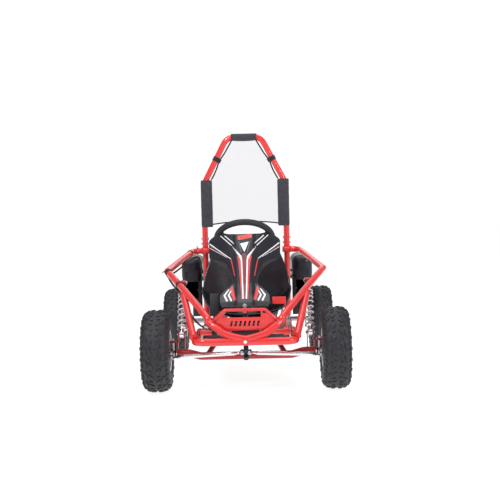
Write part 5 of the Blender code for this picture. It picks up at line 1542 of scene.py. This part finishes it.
def build_rear_axle():
    centre = (REAR_Y, TYRE_RADIUS)
    axle = Shape().rod((-0.4200, *centre), (0.4200, *centre), 0.0120)
    axle.paint = 1
    for side in (1, -1):
        axle.hexagon((0.4105 * side, *centre), (0.4185 * side, *centre), 0.0185)
        axle.collar(0.0121, 0.0190, (-0.004, 0.004), (0.103 * side, *centre), (1, 0, 0))
    axle.done("live_axle", (STEEL, CHROME), "rear_axle")

    outline = toothed(36, 0.0685, 0.0742, (0.28, 0.42, 0.58, 0.86))
    sprocket = Shape()
    holed_disc(sprocket, (CHAIN_X, *centre), (1, 0, 0), outline, 5, (0.045, 0.0095), 0.0040)
    hub = (0.0122, 0.022, (-0.010, 0.012))
    sprocket.collar(*hub, (CHAIN_X, *centre), (1, 0, 0), 0.0005, 40)
    sprocket.done("sprocket_wheel", (STEEL,), "axle_sprocket")

    outline = []
    for step in range(96):
        angle = math.tau * step / 96
        wave = 0.0716 + 0.0004 * math.cos(angle * 12)
        outline.append((wave * math.cos(angle), wave * math.sin(angle)))
    disc = Shape()
    holed_disc(disc, (-CHAIN_X, *centre), (-1, 0, 0), outline, 12, (0.058, 0.0042), 0.0030)
    disc.collar(*hub, (-CHAIN_X, *centre), (-1, 0, 0), 0.0005, 40)
    disc.done("brake_rotor", (STEEL,), "brake_disc")

    caliper = Shape()
    x = -CHAIN_X
    for first, last in ((-0.0160, -0.0024), (0.0024, 0.0128)):
        caliper.box((x + first, 0.438, 0.1935), (x + last, 0.478, 0.238), 0.003)
    caliper.box((x - 0.0150, 0.4385, 0.2325), (x + 0.0120, 0.4415, 0.2375), 0.001)
    caliper.paint = 1
    for y in (0.448, 0.468):
        caliper.bolt((x - 0.0155, y, 0.228), (-1, 0, 0), 0.005, 0.004)
    caliper.rod((x - 0.0175, 0.458, 0.212), (x - 0.0155, 0.458, 0.212), 0.0105)
    caliper.done("caliper_halves", (ALUMINIUM, STEEL), "brake_caliper")


def chain_path():
    """The chain's middle line round both sprockets, as (y, z), from the axle's to the motor's and back."""
    first = Vector((REAR_Y, TYRE_RADIUS))
    second = Vector((MOTOR_CENTRE.y, MOTOR_CENTRE.z))
    big = 0.0733
    small = 0.0233
    span = second - first
    heading = math.atan2(span.y, span.x)
    spread = math.acos((big - small) / span.length)
    loop = []
    for centre, radius, start, end in (
        (first, big, heading + spread, heading + math.tau - spread),
        (second, small, heading - spread, heading + spread),
    ):
        for step in range(61):
            angle = start + (end - start) * step / 60
            loop.append(Vector((centre.x + radius * math.cos(angle), centre.y + radius * math.sin(angle))))
    return loop


def build_drive():
    loop = chain_path()
    ends = loop + [loop[0]]
    lengths = [(b - a).length for a, b in zip(ends, ends[1:])]
    whole = sum(lengths)
    count = 2 * round(whole / CHAIN_PITCH / 2)
    pitch = whole / count

    def at(distance):
        distance %= whole
        for number, part in enumerate(lengths):
            if distance <= part:
                return ends[number].lerp(ends[number + 1], distance / part)
            distance -= part
        return ends[0]

    chain = Shape()
    for number in range(count):
        one = at(number * pitch)
        two = at((number + 1) * pitch)
        along = (two - one).normalized()
        middle = (one + two) / 2
        turn = Matrix.Rotation(math.atan2(along.y, along.x), 3, "X")
        offset = 0.0036 if number % 2 else 0.0026
        for side in (1, -1):
            spot = Vector((CHAIN_X + offset * side, middle.x, middle.y))
            half = Vector((0.0005, pitch / 2 + 0.0030, 0.0030))
            chain.box(spot - half, spot + half, 0.0010, turn, spot, 2)
        spot = Vector((CHAIN_X, one.x, one.y))
        chain.rod(spot - Vector((0.0040, 0, 0)), spot + Vector((0.0040, 0, 0)), 0.0023, 12, 0.0003)
    chain.done("chain_links", (STEEL,), "drive_chain")

    shaft = Shape().rod(MOTOR_CENTRE + Vector((0.0503, 0, 0)), MOTOR_CENTRE + Vector((0.082, 0, 0)), 0.006)
    outline = toothed(11, 0.0185, 0.0240, (0.28, 0.44, 0.56, 0.84))
    place = Matrix.Translation((CHAIN_X, *MOTOR_CENTRE.yz)) @ axis_turn((1, 0, 0)).to_4x4()
    shaft.plate([outline], 0.0040, place, 0.0004)
    shaft.hexagon((CHAIN_X + 0.002, *MOTOR_CENTRE.yz), (CHAIN_X + 0.0075, *MOTOR_CENTRE.yz), 0.0085)
    shaft.done("pinion", (STEEL,), "motor_sprocket")

    motor = Shape()
    fin = 0.0445
    root = 0.0425
    step = 0.012
    body = [(0, 0), (0.040, 0), (fin, 0.003)]
    height = step
    while height < 0.092:
        groove = [(fin, 0), (root, 0.0012), (root, 0.0048), (fin, 0.006)]
        body += [(radius, height + rise) for radius, rise in groove]
        height += step
    body += [(fin, 0.102), (0.040, 0.105), (0, 0.105)]
    motor.lathe(body, MOTOR_CENTRE - Vector((0.055, 0, 0)), (1, 0, 0), 56)
    motor.box((0.058, 0.348, 0.1964), (0.122, 0.402, 0.215), 0.0015)
    motor.paint = 1
    motor.rod(MOTOR_CENTRE - Vector((0.060, 0, 0)), MOTOR_CENTRE - Vector((0.054, 0, 0)), 0.030, 40, 0.002)
    for y, z in circle(4, 0.033, 0.5):
        motor.bolt(MOTOR_CENTRE + Vector((0.0495, y, z)), (1, 0, 0), 0.0042, 0.0035)
    motor.done("motor_case", (BLACK_METAL, ALUMINIUM), "drive_motor")


def build_battery():
    box = Shape().box((-0.180, 0.262, 0.270), (-0.045, 0.360, 0.430), 0.007, segments=5)
    box.box((-0.170, HOOP_Y + 0.013, 0.4318), (-0.055, 0.300, 0.4353), 0.001)
    box.paint = 1
    box.box((-0.1795, 0.2615, 0.3900), (-0.0455, 0.3602, 0.3945), 0.0008)
    for x in (-0.155, -0.070):
        box.rod((x, 0.311, 0.4290), (x, 0.311, 0.4350), 0.0075, 24)
    box.done("battery_case", (MATT, GLOSS), "battery_box")


def repaint(node, material):
    """A CAD piece whose shape is already right takes a finer material."""
    shown = frame["nodes"][node]
    if not shown.material_slots:
        shown.data.materials.append(material)
    for slot in shown.material_slots:
        slot.material = material


for build in (
    build_camera, build_studio, build_bumper, build_rails, build_uprights, build_side_bars,
    build_cross_tubes, build_front_bracket, build_rear_frame, build_hoop, build_net, build_wheels,
    build_fairing, build_seat, build_mudguards, build_steering, build_front_axle, build_knuckles,
    build_shocks, build_pedals, build_cable, build_swingarm, build_rear_axle, build_drive,
    build_battery,
):
    build()
repaint("floor_pan", BLACK_METAL)
repaint("seat_mount", STEEL)
